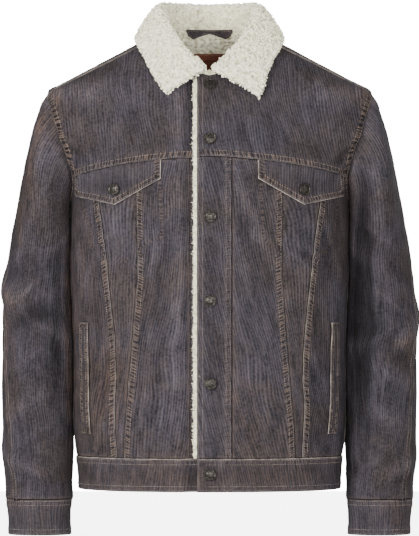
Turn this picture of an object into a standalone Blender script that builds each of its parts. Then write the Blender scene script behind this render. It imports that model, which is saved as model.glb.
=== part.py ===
"""A cord jacket with a pile collar, buttoned up and held open in the form it is worn in.

Lengths are in millimetres until a mesh is made. The origin lies between the shoulders, at the
height of the sides of the neck. The wearer faces -Y, and the wearer's left is +X. An angle of
0 degrees is the centre front, 90 is the wearer's side and 180 the centre back. Shapes that
both sides share are worked out for the left (side = 1) and mirrored for the right (side = -1).
"""
import math
from collections import namedtuple

import bmesh
import bpy
import numpy as np

MM = 0.001                  # one millimetre, in metres

SEAM_GAP = 0.3              # between pieces that are sewn edge to edge
LAID_GAP = 0.9              # under a piece that lies on a rounded panel
FLAP_GAP = 1.5              # the flaps hang from the yoke seam and bridge the hollow below it
BODY_CLOTH = 3.0            # cord backed with pile
SLEEVE_CLOTH = 2.4
BAND_CLOTH = 3.5            # waistband and cuffs, cord folded double
TRIM_CLOTH = 2.2            # flaps and welts
COLLAR_CLOTH = 1.8          # cord side of the collar
COLLAR_PILE = 6.3           # pile side of the collar
NECK_PILE = 4.0             # lining inside the back neck
EDGE_PILE = 3.0             # pile facing along the front edge
PATCH_LEATHER = 1.2
LOOP_CLOTH = 1.6

WAIST_SEAM = -619.0         # heights below the neck
HEM = -667.0
BACK_YOKE_CENTRE = -166.0
CUFF_SEAM = -682.0
CUFF_END = -734.0
CAP_END = -300.0            # where the sleeve has become a plain tube

BODY_ROWS = 10              # mesh rows from the waist seam to the yoke seam
YOKE_ROWS = 6
CAP_ROWS = 6
SLEEVE_ROWS = 12
COLLAR_FRONT_STEPS = 4      # from the front of the collar to the shoulder seam
COLLAR_BACK_STEPS = 8       # from there to the centre back
BUTTON_SIDES = 14

LEFT_EDGE = -18.0           # the left front laps over the right as far as this x
RIGHT_EDGE = -18.0          # the right front reaches as far under the left, seen mirrored
OVERLAP_DEPTH = 6.7         # how far the right front lies behind the left one's face
YOKE_LIFT = 1.2             # the yoke's lower edge laps over the panels below
YOKE_LIFT_REACH = 30.0

ROUNDNESS = 2.25            # 2 would make every body section a pair of half ellipses

Section = namedtuple("Section", "z half_width front back")
BODY = (
    Section(0, 75, 38, 72),
    Section(-30, 131, 62, 88),
    Section(-68, 202.4, 88, 102),
    Section(-87, 236, 99, 107),
    Section(-100, 243, 106, 110),
    Section(-120, 243, 114, 113.5),
    Section(-150, 239, 124, 118),
    Section(-180, 226, 130, 120),
    Section(-215, 208, 134, 121),
    Section(-245, 203.5, 136, 120.5),
    Section(-350, 203, 134, 114),
    Section(-420, 200, 131, 110),
    Section(-500, 198, 129.5, 108),
    Section(-565, 199, 127.5, 109),
    Section(-619, 194, 124, 110.5),
    Section(-667, 190, 122, 112),
)

# Soft folds of the body. Tilt 0 runs around the body and 90 straight up.
# Height is outwards, so a trough's is negative.
Fold = namedtuple("Fold", "angle z tilt length width height")
BODY_FOLDS = (
    Fold(58, -325, 50, 60, 24, -4.5),
    Fold(46, -350, 50, 70, 26, 3.5),
    Fold(-58, -325, -50, 60, 24, -4.5),
    Fold(-46, -355, -50, 70, 26, 3.5),
    Fold(20, -370, 74, 80, 24, -3.5),
    Fold(-24, -360, -72, 80, 24, -3.5),
    Fold(40, -470, 82, 110, 24, 3.0),
    Fold(-38, -480, -84, 110, 24, 3.2),
    Fold(60, -585, 20, 60, 26, -3.0),
    Fold(-64, -590, -24, 60, 26, -3.0),
    Fold(128, -320, -55, 80, 24, -5.0),
    Fold(-130, -330, 52, 80, 24, -5.0),
    Fold(150, -420, 80, 130, 26, 4.0),
    Fold(-154, -430, -82, 130, 26, 4.0),
    Fold(180, -500, 88, 120, 24, -4.0),
    Fold(128, -560, 12, 80, 20, -4.0),
    Fold(-132, -570, -14, 80, 20, -4.0),
)
BODY_GIRTH_SCALE = 165.0    # mm of cloth to a radian around the body
CALM_SIDE = 16.0            # degrees each side of the side seam, where the sleeve lies
CALM_FADE = 16.0            # degrees in which the folds come back beyond that

# Height of the neckline and of the yoke seam, and the seams of the lower front panels.
NeckPoint = namedtuple("NeckPoint", "angle z")
NECKLINE = (
    NeckPoint(0, -69), NeckPoint(6, -61), NeckPoint(12, -50), NeckPoint(24, -33),
    NeckPoint(40, -19), NeckPoint(60, -9), NeckPoint(90, -3), NeckPoint(120, -3.5),
    NeckPoint(150, -6), NeckPoint(180, -8),
)
NECK_SIDE_ANGLE = 57.0      # where the shoulder seam meets the neckline

YokePoint = namedtuple("YokePoint", "x z")
YOKE_SEAM = (
    YokePoint(0, -184), YokePoint(30, -186), YokePoint(70, -189.5), YokePoint(109, -194),
    YokePoint(135, -198), YokePoint(165, -204), YokePoint(190, -210), YokePoint(204, -216),
)
ShoulderPoint = namedtuple("ShoulderPoint", "z angle")
SHOULDER_BEND = ShoulderPoint(-45, 66)
SHOULDER_SHARES = (0, 0.08, 0.17, 0.29, 0.43, 0.62, 0.81, 1)  # close where the shoulder turns down

SeamPoint = namedtuple("SeamPoint", "z inner outer")
FRONT_SEAMS = (
    SeamPoint(-184, 104, 164.5), SeamPoint(-246, 105, 160.5), SeamPoint(-278, 105, 155.7),
    SeamPoint(-313, 104.5, 150.5), SeamPoint(-349, 104.5, 145.7), SeamPoint(-391, 106.5, 141),
    SeamPoint(-457, 111, 134.5), SeamPoint(-505, 115, 133), SeamPoint(-538, 118, 135.5),
    SeamPoint(-576, 121.4, 135.5), SeamPoint(-619, 123.6, 133.5),
)
LEFT_PLACKET_SEAM = 32.0
RIGHT_PLACKET_SEAM = 28.0

# The armhole is a loop on the body. Turn 0 is its top, 90 its front and 180 its bottom.
ARMHOLE_MIDDLE = -166.0
ARMHOLE_HALF_HEIGHT = 80.0
ARMHOLE_SPREAD = 24.5       # degrees of body angle to each side
ARMHOLE_NARROWING = 0.44    # how much tighter the loop is at its bottom
TURN_SHOULDER = 30.0        # where the shoulder seam meets the armhole
TURN_YOKE = 128.0
TURN_SIDE = 180.0
TURN_BACK_YOKE = 262.0
TURN_SLEEVE_SEAM = 374.0    # the sleeve's upper seam, a full turn on from 14
SLEEVE_SEAM_DRIFT = 26.0    # degrees that this seam comes forward down the sleeve

Ring = namedtuple("Ring", "z outer inner middle_y half_depth")
SLEEVE = (
    Ring(-265, 280, 198, 18, 79),
    Ring(-300, 288.5, 199, 22, 75),
    Ring(-330, 293.5, 199, 24, 71),
    Ring(-380, 300, 199, 26, 66),
    Ring(-422, 302, 198, 26, 63),
    Ring(-505, 303, 197, 21, 58),
    Ring(-576, 301, 200, 13, 52),
    Ring(-623, 300, 202, 7, 48),
    Ring(-660, 296.5, 203, 1, 44),
    Ring(-682, 296, 203, -2, 42),
    Ring(-734, 292.6, 203, -8, 36),
)
SLEEVE_FOLDS = {
    1: (
        Fold(110, -330, 30, 45, 15, -4.5), Fold(60, -350, 28, 50, 16, 3.5),
        Fold(20, -430, -38, 55, 17, -6.0), Fold(55, -470, 30, 50, 15, 4.0),
        Fold(120, -455, -25, 50, 16, -4.5), Fold(70, -560, 24, 50, 15, -3.5),
        Fold(40, -640, -18, 55, 14, -4.0), Fold(110, -650, 16, 50, 13, 3.0),
        Fold(200, -440, 20, 60, 18, -5.0), Fold(290, -470, -16, 60, 20, 4.0),
        Fold(255, -380, 24, 60, 20, -5.0), Fold(300, -620, 12, 60, 16, -4.0),
    ),
    -1: (
        Fold(105, -320, 34, 45, 15, -4.5), Fold(58, -345, 24, 50, 16, 3.5),
        Fold(18, -378, -34, 52, 16, -6.0), Fold(60, -420, 34, 50, 15, 4.0),
        Fold(118, -440, -22, 50, 16, -4.5), Fold(60, -540, 26, 50, 15, -3.5),
        Fold(36, -630, -20, 55, 14, -4.0), Fold(100, -655, 14, 50, 13, 3.0),
        Fold(200, -450, 20, 60, 18, -5.0), Fold(290, -460, -18, 60, 20, 4.0),
        Fold(250, -370, 22, 60, 20, -5.0), Fold(305, -610, 12, 60, 16, -4.0),
    ),
}
SLEEVE_GIRTH_SCALE = 56.0   # mm of cloth to a radian around the sleeve
SLEEVE_CLEARANCE = 3.2      # the sleeve rests just clear of the body's side
SLEEVE_SOFTNESS = 2.0       # rounds off where that pushes the sleeve out

# Directions in which the sleeve leaves the armhole: sideways, forwards and up.
LEAVE_TOP = (0.33, 0.0, -0.94)
LEAVE_FRONT = (0.75, -0.30, -0.58)
LEAVE_BOTTOM = (0.12, 0.0, -0.99)
LEAVE_BACK = (0.72, 0.36, -0.58)

# The collar's section stands up from the neckline to its roll and falls to its edge.
# The edge rests on the body at an angle and a height there.
Station = namedtuple("Station", "angle roll_x roll_y roll_z edge_angle edge_z")
COLLAR = (
    Station(3, 5, -98, -56, 13.2, -96),
    Station(12, 29, -84, -33, 17.0, -80),
    Station(24, 47, -66, -13, 24.5, -59),
    Station(40, 58, -47, 7, 37.0, -39),
    Station(60, 68, -22, 27, 56.0, -24),
    Station(90, 72, 4, 39, 90.0, -13.5),
    Station(125, 60, 45, 46, 130.0, -17),
    Station(150, 36, 68, 48, 153.0, -20),
    Station(180, 0, 78, 48, 180.0, -21),
)
COLLAR_TIP_SHIFT = 1.3      # degrees that the points sit towards the wearer's left
COLLAR_TIP_DROP = 6.0       # how much lower the left point lies than the right one
COLLAR_CORNER_DROP = 5.5    # from the top of the pile to the corner of the cloth's fold
COLLAR_CORNER_CUT = 6.0
COLLAR_BELLY = 2.0
COLLAR_REST = 1.2           # clearance of the fall from the body
COLLAR_LIFT = 0.7           # clearance of the stand from the neckline

FLAP_SPAN = (69.0, 192.0)   # x of the flap's sides
FLAP_POINT_X = 134.5
FLAP_INNER_Z = -217.0
FLAP_POINT_Z = -254.0
FLAP_OUTER_Z = -241.0
FLAP_BUTTON_Z = -232.0

WELT_TOP = (180.0, -424.0)  # x and z of the ends of the pocket welt's middle line
WELT_END = (177.5, -585.0)
WELT_WIDTH = 12.0

BUTTON_X = 1.0
FRONT_BUTTON_HEIGHTS = (-81.2, -159.5, -271.0, -391.5, -510.4, -641.0)
RimPoint = namedtuple("RimPoint", "radius height")
BUTTON_PROFILE = (
    RimPoint(5.2, 0.0), RimPoint(5.2, 1.4), RimPoint(8.5, 1.8), RimPoint(9.0, 2.8),
    RimPoint(8.3, 3.9), RimPoint(6.7, 4.2), RimPoint(6.0, 3.7),
)

PATCH_HALF_WIDTH = 31.5
PATCH_SPAN = (-25.0, -72.0)
LINING_COLUMNS = 4          # of the back yoke's columns, each side of the centre back
LINING_DROP = 4.5           # of its top edge below the neckline
LOOP_SPAN = (0.08, 0.40)    # shares of the way from the neck seam to half way up the stand
LOOP_GAP = 0.5

CORD_COLOUR = (0.075, 0.062, 0.060)
CORD_DARK = (0.058, 0.050, 0.050)
PILE_COLOUR = (0.74, 0.72, 0.62)
LEATHER_COLOUR = (0.23, 0.055, 0.025)
METAL_COLOUR = (0.085, 0.078, 0.065)


# --- curves and surfaces -------------------------------------------------------------------

def curve_through(knots, values):
    """A smooth curve through points that never swings past them, straight beyond its ends."""
    order = np.argsort(knots)
    x = np.asarray(knots, float)[order]
    y = np.asarray(values, float)[order]
    step = np.diff(x)
    slope = np.diff(y) / step
    product = slope[:-1] * slope[1:]
    total = np.where(product > 0, slope[:-1] + slope[1:], 1.0)
    inner = np.where(product > 0, 2 * product / total, 0.0)
    tangent = np.concatenate([slope[:1], inner, slope[-1:]])

    def value(at):
        at = np.asarray(at, float)
        k = np.clip(np.searchsorted(x, at) - 1, 0, len(step) - 1)
        t = np.clip((at - x[k]) / step[k], 0, 1)
        smooth = (y[k] * (1 + 2 * t) * (1 - t) ** 2 + y[k + 1] * t * t * (3 - 2 * t)
                  + step[k] * t * (1 - t) * (tangent[k] * (1 - t) - tangent[k + 1] * t))
        below = np.minimum(at - x[0], 0) * tangent[0]
        above = np.maximum(at - x[-1], 0) * tangent[-1]
        return smooth + below + above

    return value


def column(rows, key, name):
    """The named column of a table as a smooth function of its key column."""
    return curve_through([getattr(r, key) for r in rows], [getattr(r, name) for r in rows])


half_width = column(BODY, "z", "half_width")
front_depth = column(BODY, "z", "front")
back_depth = column(BODY, "z", "back")
neck_height = column(NECKLINE, "angle", "z")
yoke_seam_height = column(YOKE_SEAM, "x", "z")
inner_seam_x = column(FRONT_SEAMS, "z", "inner")
outer_seam_x = column(FRONT_SEAMS, "z", "outer")


def smoothstep(t):
    t = np.clip(t, 0, 1)
    return t * t * (3 - 2 * t)


def unit(vectors):
    return vectors / np.maximum(np.linalg.norm(vectors, axis=-1, keepdims=True), 1e-9)


def normals_of(surface, u, v, du, dv):
    """Outward normals of surface(u, v), from small steps each way."""
    along_u = surface(u + du, v) - surface(u - du, v)
    along_v = surface(u, v + dv) - surface(u, v - dv)
    return unit(np.cross(along_u, along_v))


def fold_height(folds, angle, z, girth_scale):
    """Sum of the table's folds at a place given by angle and height."""
    total = np.zeros(np.broadcast(angle, z).shape)
    for fold in folds:
        around = np.radians((angle - fold.angle + 180) % 360 - 180) * girth_scale
        up = z - fold.z
        tilt = math.radians(fold.tilt)
        along = around * math.cos(tilt) + up * math.sin(tilt)
        across = up * math.cos(tilt) - around * math.sin(tilt)
        total += fold.height * np.exp(-(along / fold.length) ** 2 - (across / fold.width) ** 2)
    return total


def plain_body(angle, z):
    """The body's smooth form, before its folds."""
    s, c = np.sin(np.radians(angle)), np.cos(np.radians(angle))
    depth = np.where(c > 0, front_depth(z), back_depth(z))
    x = half_width(z) * np.sign(s) * np.abs(s) ** (2 / ROUNDNESS)
    y = -depth * np.sign(c) * np.abs(c) ** (2 / ROUNDNESS)
    return np.stack([x, y, z + np.zeros_like(x)], -1)


def folded_body(angle, z):
    height = fold_height(BODY_FOLDS, angle, z, BODY_GIRTH_SCALE)
    from_side = np.abs(np.abs((angle + 180) % 360 - 180) - 90)
    height = height * smoothstep((from_side - CALM_SIDE) / CALM_FADE)
    return plain_body(angle, z) + height[..., None] * normals_of(plain_body, angle, z, 0.5, 0.5)


def body(angle, z, out=0.0):
    """Points on the body's cloth, moved outwards by out, and the normals there."""
    angle, z = np.broadcast_arrays(np.asarray(angle, float), np.asarray(z, float))
    normals = normals_of(folded_body, angle, z, 0.5, 0.5)
    out = np.broadcast_to(out, angle.shape)
    return folded_body(angle, z) + out[..., None] * normals, normals


def angle_at(x, z):
    """The body angle at which the front lies at this x."""
    share = np.clip(np.abs(x) / half_width(z), 0, 1)
    return np.sign(x) * np.degrees(np.arcsin(share ** (ROUNDNESS / 2)))


def x_at(angle, z):
    return half_width(z) * np.abs(np.sin(np.radians(angle))) ** (2 / ROUNDNESS)


def distance_from_body(points):
    """Roughly how far points lie outside the plain form, and the way out."""
    def level(p):
        depth = np.where(p[..., 1] < 0, front_depth(p[..., 2]), back_depth(p[..., 2]))
        width = np.maximum(half_width(p[..., 2]), 1.0)
        depth = np.maximum(depth, 1.0)
        share = np.abs(p[..., 0] / width) ** ROUNDNESS + np.abs(p[..., 1] / depth) ** ROUNDNESS
        return share ** (1 / ROUNDNESS) - 1

    step = 0.5
    slope = np.stack([(level(points + step * axis) - level(points - step * axis)) / (2 * step)
                      for axis in np.eye(3)], -1)
    steepness = np.linalg.norm(slope, axis=-1)
    return level(points) / steepness, slope / steepness[..., None]


# --- seam lines, each a list of (angle, z) pairs -------------------------------------------

def yoke_height(angle):
    z = np.full(np.shape(angle), -195.0)
    for _ in range(5):
        z = yoke_seam_height(x_at(angle, z))
    return z


def pairs(angle, z):
    return np.stack(np.broadcast_arrays(np.asarray(angle, float), np.asarray(z, float)), -1)


def upright_seam(x_of_z):
    """A lower front seam from the waist seam up to the yoke seam."""
    top = -190.0
    for _ in range(5):
        top = float(yoke_seam_height(abs(x_of_z(top))))
    z = np.linspace(WAIST_SEAM, top, BODY_ROWS + 1)
    return pairs(angle_at(x_of_z(z), z), z)


def straight_x(x):
    return lambda z: x + 0 * np.asarray(z, float)


def armhole(turn):
    s, c = np.sin(np.radians(turn)), np.cos(np.radians(turn))
    spread = ARMHOLE_SPREAD * (1 - ARMHOLE_NARROWING * np.minimum(c, 0) ** 2)
    return pairs(90 - spread * s, ARMHOLE_MIDDLE + ARMHOLE_HALF_HEIGHT * c)


def turns(start, end, steps):
    return np.linspace(start, end, steps + 1)


FRONT_ARM_TURNS = turns(TURN_YOKE, TURN_SHOULDER, YOKE_ROWS)
SIDE_ARM_TURNS = turns(TURN_YOKE, TURN_SIDE, 3)
BACK_ARM_TURNS = turns(TURN_SIDE, TURN_BACK_YOKE, 5)
TOP_ARM_TURNS = turns(TURN_BACK_YOKE, TURN_SHOULDER + 360, 8)

PLACKET_STEPS, CENTRE_STEPS, MIDDLE_STEPS, SIDE_YOKE_STEPS = 2, 3, 2, 5


def shoulder_seam():
    """From the armhole up to the neck, on the left."""
    arm = armhole(np.array([TURN_SHOULDER]))[0]
    neck_z = float(neck_height(NECK_SIDE_ANGLE))
    angle_of = curve_through([arm[1], SHOULDER_BEND.z, neck_z],
                             [arm[0], SHOULDER_BEND.angle, NECK_SIDE_ANGLE])
    z = arm[1] + (neck_z - arm[1]) * np.array(SHOULDER_SHARES)
    return pairs(angle_of(z), z)


def along_yoke(start, end, steps):
    angle = np.linspace(start, end, steps + 1)
    return pairs(angle, yoke_height(angle))


def along_waist(start, end, steps):
    return pairs(np.linspace(start, end, steps + 1), WAIST_SEAM)


def join(*lines):
    """One line from several that share their end points."""
    return np.concatenate([lines[0]] + [line[1:] for line in lines[1:]])


def placket_sides(side):
    if side > 0:
        return straight_x(LEFT_EDGE), straight_x(LEFT_PLACKET_SEAM)
    return straight_x(RIGHT_EDGE), straight_x(RIGHT_PLACKET_SEAM)


def front_seam_lines(side):
    """Edge, placket seam, inner seam and outer seam of one front, in that order."""
    edge, placket = placket_sides(side)
    return [upright_seam(x) for x in (edge, placket, inner_seam_x, outer_seam_x)]


def fill_patch(bottom, top, left, right):
    """A grid of (angle, z) pairs between four lines, by Coons's rule. Left and right run upwards."""
    u = np.linspace(0, 1, len(bottom))[None, :, None]
    v = ((left[:, 1] - left[0, 1]) / (left[-1, 1] - left[0, 1]))[:, None, None]
    sides = (1 - u) * left[:, None] + u * right[:, None]
    ends = (1 - v) * bottom[None] + v * top[None]
    corners = ((1 - u) * (1 - v) * bottom[0] + u * (1 - v) * bottom[-1]
               + (1 - u) * v * top[0] + u * v * top[-1])
    return sides + ends - corners


# --- meshes --------------------------------------------------------------------------------

def finish_mesh(name, bm, material):
    bmesh.ops.recalc_face_normals(bm, faces=bm.faces)
    if bm.calc_volume(signed=True) < 0:
        bmesh.ops.reverse_faces(bm, faces=bm.faces)
    mesh = bpy.data.meshes.new(name)
    bm.to_mesh(mesh)
    bm.free()
    mesh.shade_smooth()
    mesh.set_sharp_from_angle(angle=math.radians(50))
    mesh.materials.append(material)
    thing = bpy.data.objects.new(name, mesh)
    bpy.context.scene.collection.objects.link(thing)
    return thing


def wall(name, outer, inner, material, closed=False):
    """A closed wall between two grids of points; closed joins the last column to the first."""
    rows, columns = outer.shape[:2]
    bm = bmesh.new()
    shells = []
    for grid in (outer, inner):
        shells.append([[bm.verts.new(point * MM) for point in row] for row in grid])
    last = columns if closed else columns - 1
    for i in range(rows - 1):
        for j in range(last):
            k = (j + 1) % columns
            for shell in shells:
                bm.faces.new((shell[i][j], shell[i][k], shell[i + 1][k], shell[i + 1][j]))
    out, back = shells
    for i in (0, rows - 1):
        for j in range(last):
            k = (j + 1) % columns
            bm.faces.new((out[i][j], out[i][k], back[i][k], back[i][j]))
    if not closed:
        for j in (0, columns - 1):
            for i in range(rows - 1):
                bm.faces.new((out[i][j], out[i + 1][j], back[i + 1][j], back[i][j]))
    return finish_mesh(name, bm, material)


def pull_in(points, normals, amount, closed=False):
    """Moves a grid's border inwards along the cloth, so that neighbours stay apart."""
    moved = points.copy()
    inside = {"first": (0, 1), "last": (-1, -2)}
    for border, neighbour in inside.values():
        tangent = np.gradient(points[border], axis=0)
        across = unit(np.cross(normals[border], tangent))
        towards = np.sum(across * (points[neighbour] - points[border]), -1, keepdims=True)
        moved[border] += amount * across * np.sign(towards)
        if closed:
            continue
        tangent = np.gradient(points[:, border], axis=0)
        across = unit(np.cross(normals[:, border], tangent))
        towards = np.sum(across * (points[:, neighbour] - points[:, border]), -1, keepdims=True)
        moved[:, border] += amount * across * np.sign(towards)
    return moved


def body_panel(name, grid, side, material, out=0.0, thickness=BODY_CLOTH, gap=SEAM_GAP):
    """A panel of the body over a grid of (angle, z) pairs."""
    points, normals = body(side * grid[..., 0], grid[..., 1], out)
    outer = pull_in(points, normals, gap / 2)
    return wall(name, outer, outer - thickness * normals, material)


def overlap_out(side, grid, dipped):
    """How far a front lies behind the form: the right one's first columns pass under the left."""
    out = np.zeros(grid.shape[:-1])
    if side < 0:
        out[:, :dipped] = -OVERLAP_DEPTH
    return out


def side_name(side):
    return "left" if side > 0 else "right"


# --- the body ------------------------------------------------------------------------------

def yoke_edge(side):
    """The front edge from the yoke seam up to the neckline."""
    edge_x = placket_sides(side)[0](0.0)
    low = upright_seam(placket_sides(side)[0])[-1, 1]
    z = np.linspace(low, neck_height(3.0) - 2.0, YOKE_ROWS + 1)
    return pairs(angle_at(edge_x, z), z)


def collar_front_angles():
    return np.linspace(COLLAR[0].angle, NECK_SIDE_ANGLE, COLLAR_FRONT_STEPS + 1)


def front_yoke(side, cord):
    edge, placket, inner, outer = (line[-1, 0] for line in front_seam_lines(side))
    arm = armhole(FRONT_ARM_TURNS)
    bottom = join(along_yoke(edge, placket, PLACKET_STEPS), along_yoke(placket, inner, CENTRE_STEPS),
                  along_yoke(inner, outer, MIDDLE_STEPS), along_yoke(outer, arm[0, 0], SIDE_YOKE_STEPS))
    bottom[-1] = arm[0]
    left = yoke_edge(side)
    neck_angles = np.concatenate([left[-1:, 0], collar_front_angles()])
    neck = pairs(neck_angles, neck_height(np.abs(neck_angles)))
    top = join(neck, shoulder_seam()[::-1])
    grid = fill_patch(bottom, top, left, arm)
    above = grid[..., 1] - yoke_height(grid[..., 0])
    lift = YOKE_LIFT * (1 - smoothstep(above / YOKE_LIFT_REACH))
    lift *= smoothstep((1 - np.linspace(0, 1, grid.shape[1])) * 4)
    if side < 0:
        lift[:, :PLACKET_STEPS + 1] = 0
    out = overlap_out(side, grid, PLACKET_STEPS + 1) + lift
    body_panel("front_yoke_" + side_name(side), grid, side, cord, out)


def lower_front(side, cord):
    lines = front_seam_lines(side)
    strips = (("placket_", PLACKET_STEPS, PLACKET_STEPS + 1), ("front_centre_", CENTRE_STEPS, 1),
              ("front_middle_", MIDDLE_STEPS, 0))
    for (name, count, dipped), left, right in zip(strips, lines[:-1], lines[1:]):
        bottom = along_waist(left[0, 0], right[0, 0], count)
        top = along_yoke(left[-1, 0], right[-1, 0], count)
        grid = fill_patch(bottom, top, left, right)
        body_panel(name + side_name(side), grid, side, cord, overlap_out(side, grid, dipped))

    left = lines[-1]
    arm = armhole(SIDE_ARM_TURNS)
    top = join(along_yoke(left[-1, 0], arm[0, 0], SIDE_YOKE_STEPS), arm)
    top[SIDE_YOKE_STEPS] = arm[0]
    bottom = along_waist(left[0, 0], 90.0, len(top) - 1)
    grid = fill_patch(bottom, top, left, side_seam())
    body_panel("front_side_" + side_name(side), grid, side, cord)


def side_seam():
    arm_bottom = ARMHOLE_MIDDLE - ARMHOLE_HALF_HEIGHT
    return pairs(90.0, np.linspace(WAIST_SEAM, arm_bottom, BODY_ROWS + 1))


def mirrored(line):
    """The same line on the right of the back, run the other way."""
    return pairs(360 - line[::-1, 0], line[::-1, 1])


def back_yoke_seam(steps=8):
    arm = armhole(np.array([TURN_BACK_YOKE]))[0]
    angle = np.linspace(arm[0], 360 - arm[0], steps + 1)
    share = np.abs(angle - 180) / (180 - arm[0])
    return pairs(angle, BACK_YOKE_CENTRE + (arm[1] - BACK_YOKE_CENTRE) * share ** 2)


def back_yoke_grid():
    arm = armhole(TOP_ARM_TURNS[::-1])
    bottom = join(arm, back_yoke_seam(), mirrored(arm))
    neck_angles = np.linspace(NECK_SIDE_ANGLE, 360 - NECK_SIDE_ANGLE, len(bottom))
    top = pairs(neck_angles, neck_height(180 - np.abs(neck_angles - 180)))
    left = shoulder_seam()
    right = pairs(360 - left[:, 0], left[:, 1])
    return fill_patch(bottom, top, left, right)


def back_yoke(cord):
    body_panel("back_yoke", back_yoke_grid(), 1, cord, gap=2 * SEAM_GAP)


def back_panel(cord):
    arm = armhole(BACK_ARM_TURNS)
    top = join(arm, back_yoke_seam(), mirrored(arm))
    bottom = along_waist(90.0, 270.0, len(top) - 1)
    left = side_seam()
    right = pairs(270.0, left[:, 1])
    body_panel("back_panel", fill_patch(bottom, top, left, right), 1, cord)


def waistband(cord):
    band_out = 1.0
    rows = np.linspace(HEM, WAIST_SEAM, 3)
    for side in (1, -1):
        lines = front_seam_lines(side)
        corners = [line[0, 0] for line in lines] + [90.0]
        counts = (PLACKET_STEPS, CENTRE_STEPS, MIDDLE_STEPS, SIDE_YOKE_STEPS + 3)
        columns = [np.linspace(a, b, n + 1) for a, b, n in zip(corners, corners[1:], counts)]
        angles = np.concatenate([columns[0]] + [c[1:] for c in columns[1:]])
        grid = pairs(angles[None, :], rows[:, None])
        out = band_out + overlap_out(side, grid, PLACKET_STEPS + 1)
        body_panel("waistband_front_" + side_name(side), grid, side, cord, out, BAND_CLOTH)
    grid = pairs(np.linspace(90, 270, 19)[None, :], rows[:, None])
    body_panel("waistband_back", grid, 1, cord, band_out, BAND_CLOTH)


# --- sleeves -------------------------------------------------------------------------------

ring_outer = column(SLEEVE, "z", "outer")
ring_inner = column(SLEEVE, "z", "inner")
ring_middle = column(SLEEVE, "z", "middle_y")
ring_depth = column(SLEEVE, "z", "half_depth")


def ring_point(turn, z):
    s, c = np.sin(np.radians(turn)), np.cos(np.radians(turn))
    x = (ring_outer(z) + ring_inner(z)) / 2 + (ring_outer(z) - ring_inner(z)) / 2 * c
    return np.stack([x, ring_middle(z) - ring_depth(z) * s, z + 0 * x], -1)


def leaving_direction(turn):
    s, c = np.sin(np.radians(turn)), np.cos(np.radians(turn))
    shares = (np.maximum(c, 0), np.maximum(s, 0), np.maximum(-c, 0), np.maximum(-s, 0))
    ways = (LEAVE_TOP, LEAVE_FRONT, LEAVE_BOTTOM, LEAVE_BACK)
    return unit(sum(share[..., None] ** 2 * np.array(way) for share, way in zip(shares, ways)))


def clear_of_side(points):
    """Pushes the sleeve outwards where it would cut into the body's side."""
    y, z = points[..., 1], points[..., 2]
    depth = np.where(y < 0, front_depth(z), back_depth(z))
    share = np.clip(1 - np.abs(y / depth) ** ROUNDNESS, 0, 1)
    limit = half_width(z) * share ** (1 / ROUNDNESS) + SLEEVE_CLEARANCE
    excess = points[..., 0] - limit
    moved = points.copy()
    moved[..., 0] = limit + 0.5 * (excess + np.sqrt(excess ** 2 + SLEEVE_SOFTNESS ** 2))
    return moved


def plain_sleeve(turn, way):
    """The left sleeve. Way runs 0 to 1 down the cap, and 1 to 2 from there to the cuff."""
    turn, way = np.broadcast_arrays(np.asarray(turn, float), np.asarray(way, float))
    t = np.clip(way, -0.1, 1)[..., None]
    hole = armhole(turn)
    start = body(hole[..., 0], hole[..., 1], SLEEVE_CLOTH + 0.4)[0]
    end = ring_point(turn, CAP_END)
    reach = np.linalg.norm(end - start, axis=-1, keepdims=True)
    leave = leaving_direction(turn) * reach
    arrive = unit(ring_point(turn, CAP_END - 1.0) - end) * reach
    cap = (start * (1 + 2 * t) * (1 - t) ** 2 + end * t * t * (3 - 2 * t)
           + leave * t * (1 - t) ** 2 - arrive * t * t * (1 - t))
    drift = SLEEVE_SEAM_DRIFT * (1 + np.cos(np.radians(turn - TURN_SLEEVE_SEAM))) / 2
    lower_turn = turn + drift * smoothstep(way - 1)
    z = CAP_END + (CUFF_SEAM - CAP_END) * np.maximum(way - 1, 0)
    tube = ring_point(lower_turn, z)
    return clear_of_side(np.where(t < 1, cap, tube))


def sleeve_surface(side, turn, way):
    """The sleeve's inside face with its folds, mirrored for the right arm.

    Its normals point into the arm, and a fold of positive height goes that way.
    """
    folds = SLEEVE_FOLDS[side]

    def folded(u, v):
        base = plain_sleeve(u, v)
        height = fold_height(folds, u, base[..., 2], SLEEVE_GIRTH_SCALE)
        ends = smoothstep(np.minimum(v * 2.5, (2 - v) * 6))
        inwards = -normals_of(plain_sleeve, u, v, 1.0, 0.01)
        return base + (height * ends)[..., None] * inwards

    points = clear_of_side(folded(turn, way))
    normals = -normals_of(folded, turn, way, 1.0, 0.01)
    flip = np.array([side, 1, 1])
    return points * flip, normals * flip


def sleeve(side, cord):
    front_half = np.concatenate([[TURN_SLEEVE_SEAM - 360], FRONT_ARM_TURNS[::-1], SIDE_ARM_TURNS[1:]])
    back_half = np.concatenate([BACK_ARM_TURNS, TOP_ARM_TURNS[1:-1]])
    way = np.concatenate([np.linspace(0, 1, CAP_ROWS + 1), 1 + np.linspace(0, 1, SLEEVE_ROWS + 1)[1:]])
    for name, turn in (("sleeve_top_", front_half), ("sleeve_under_", back_half)):
        points, normals = sleeve_surface(side, turn[None, :], way[:, None])
        inside = pull_in(points, normals, SEAM_GAP / 2)
        wall(name + side_name(side), inside - SLEEVE_CLOTH * normals, inside, cord)


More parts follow.
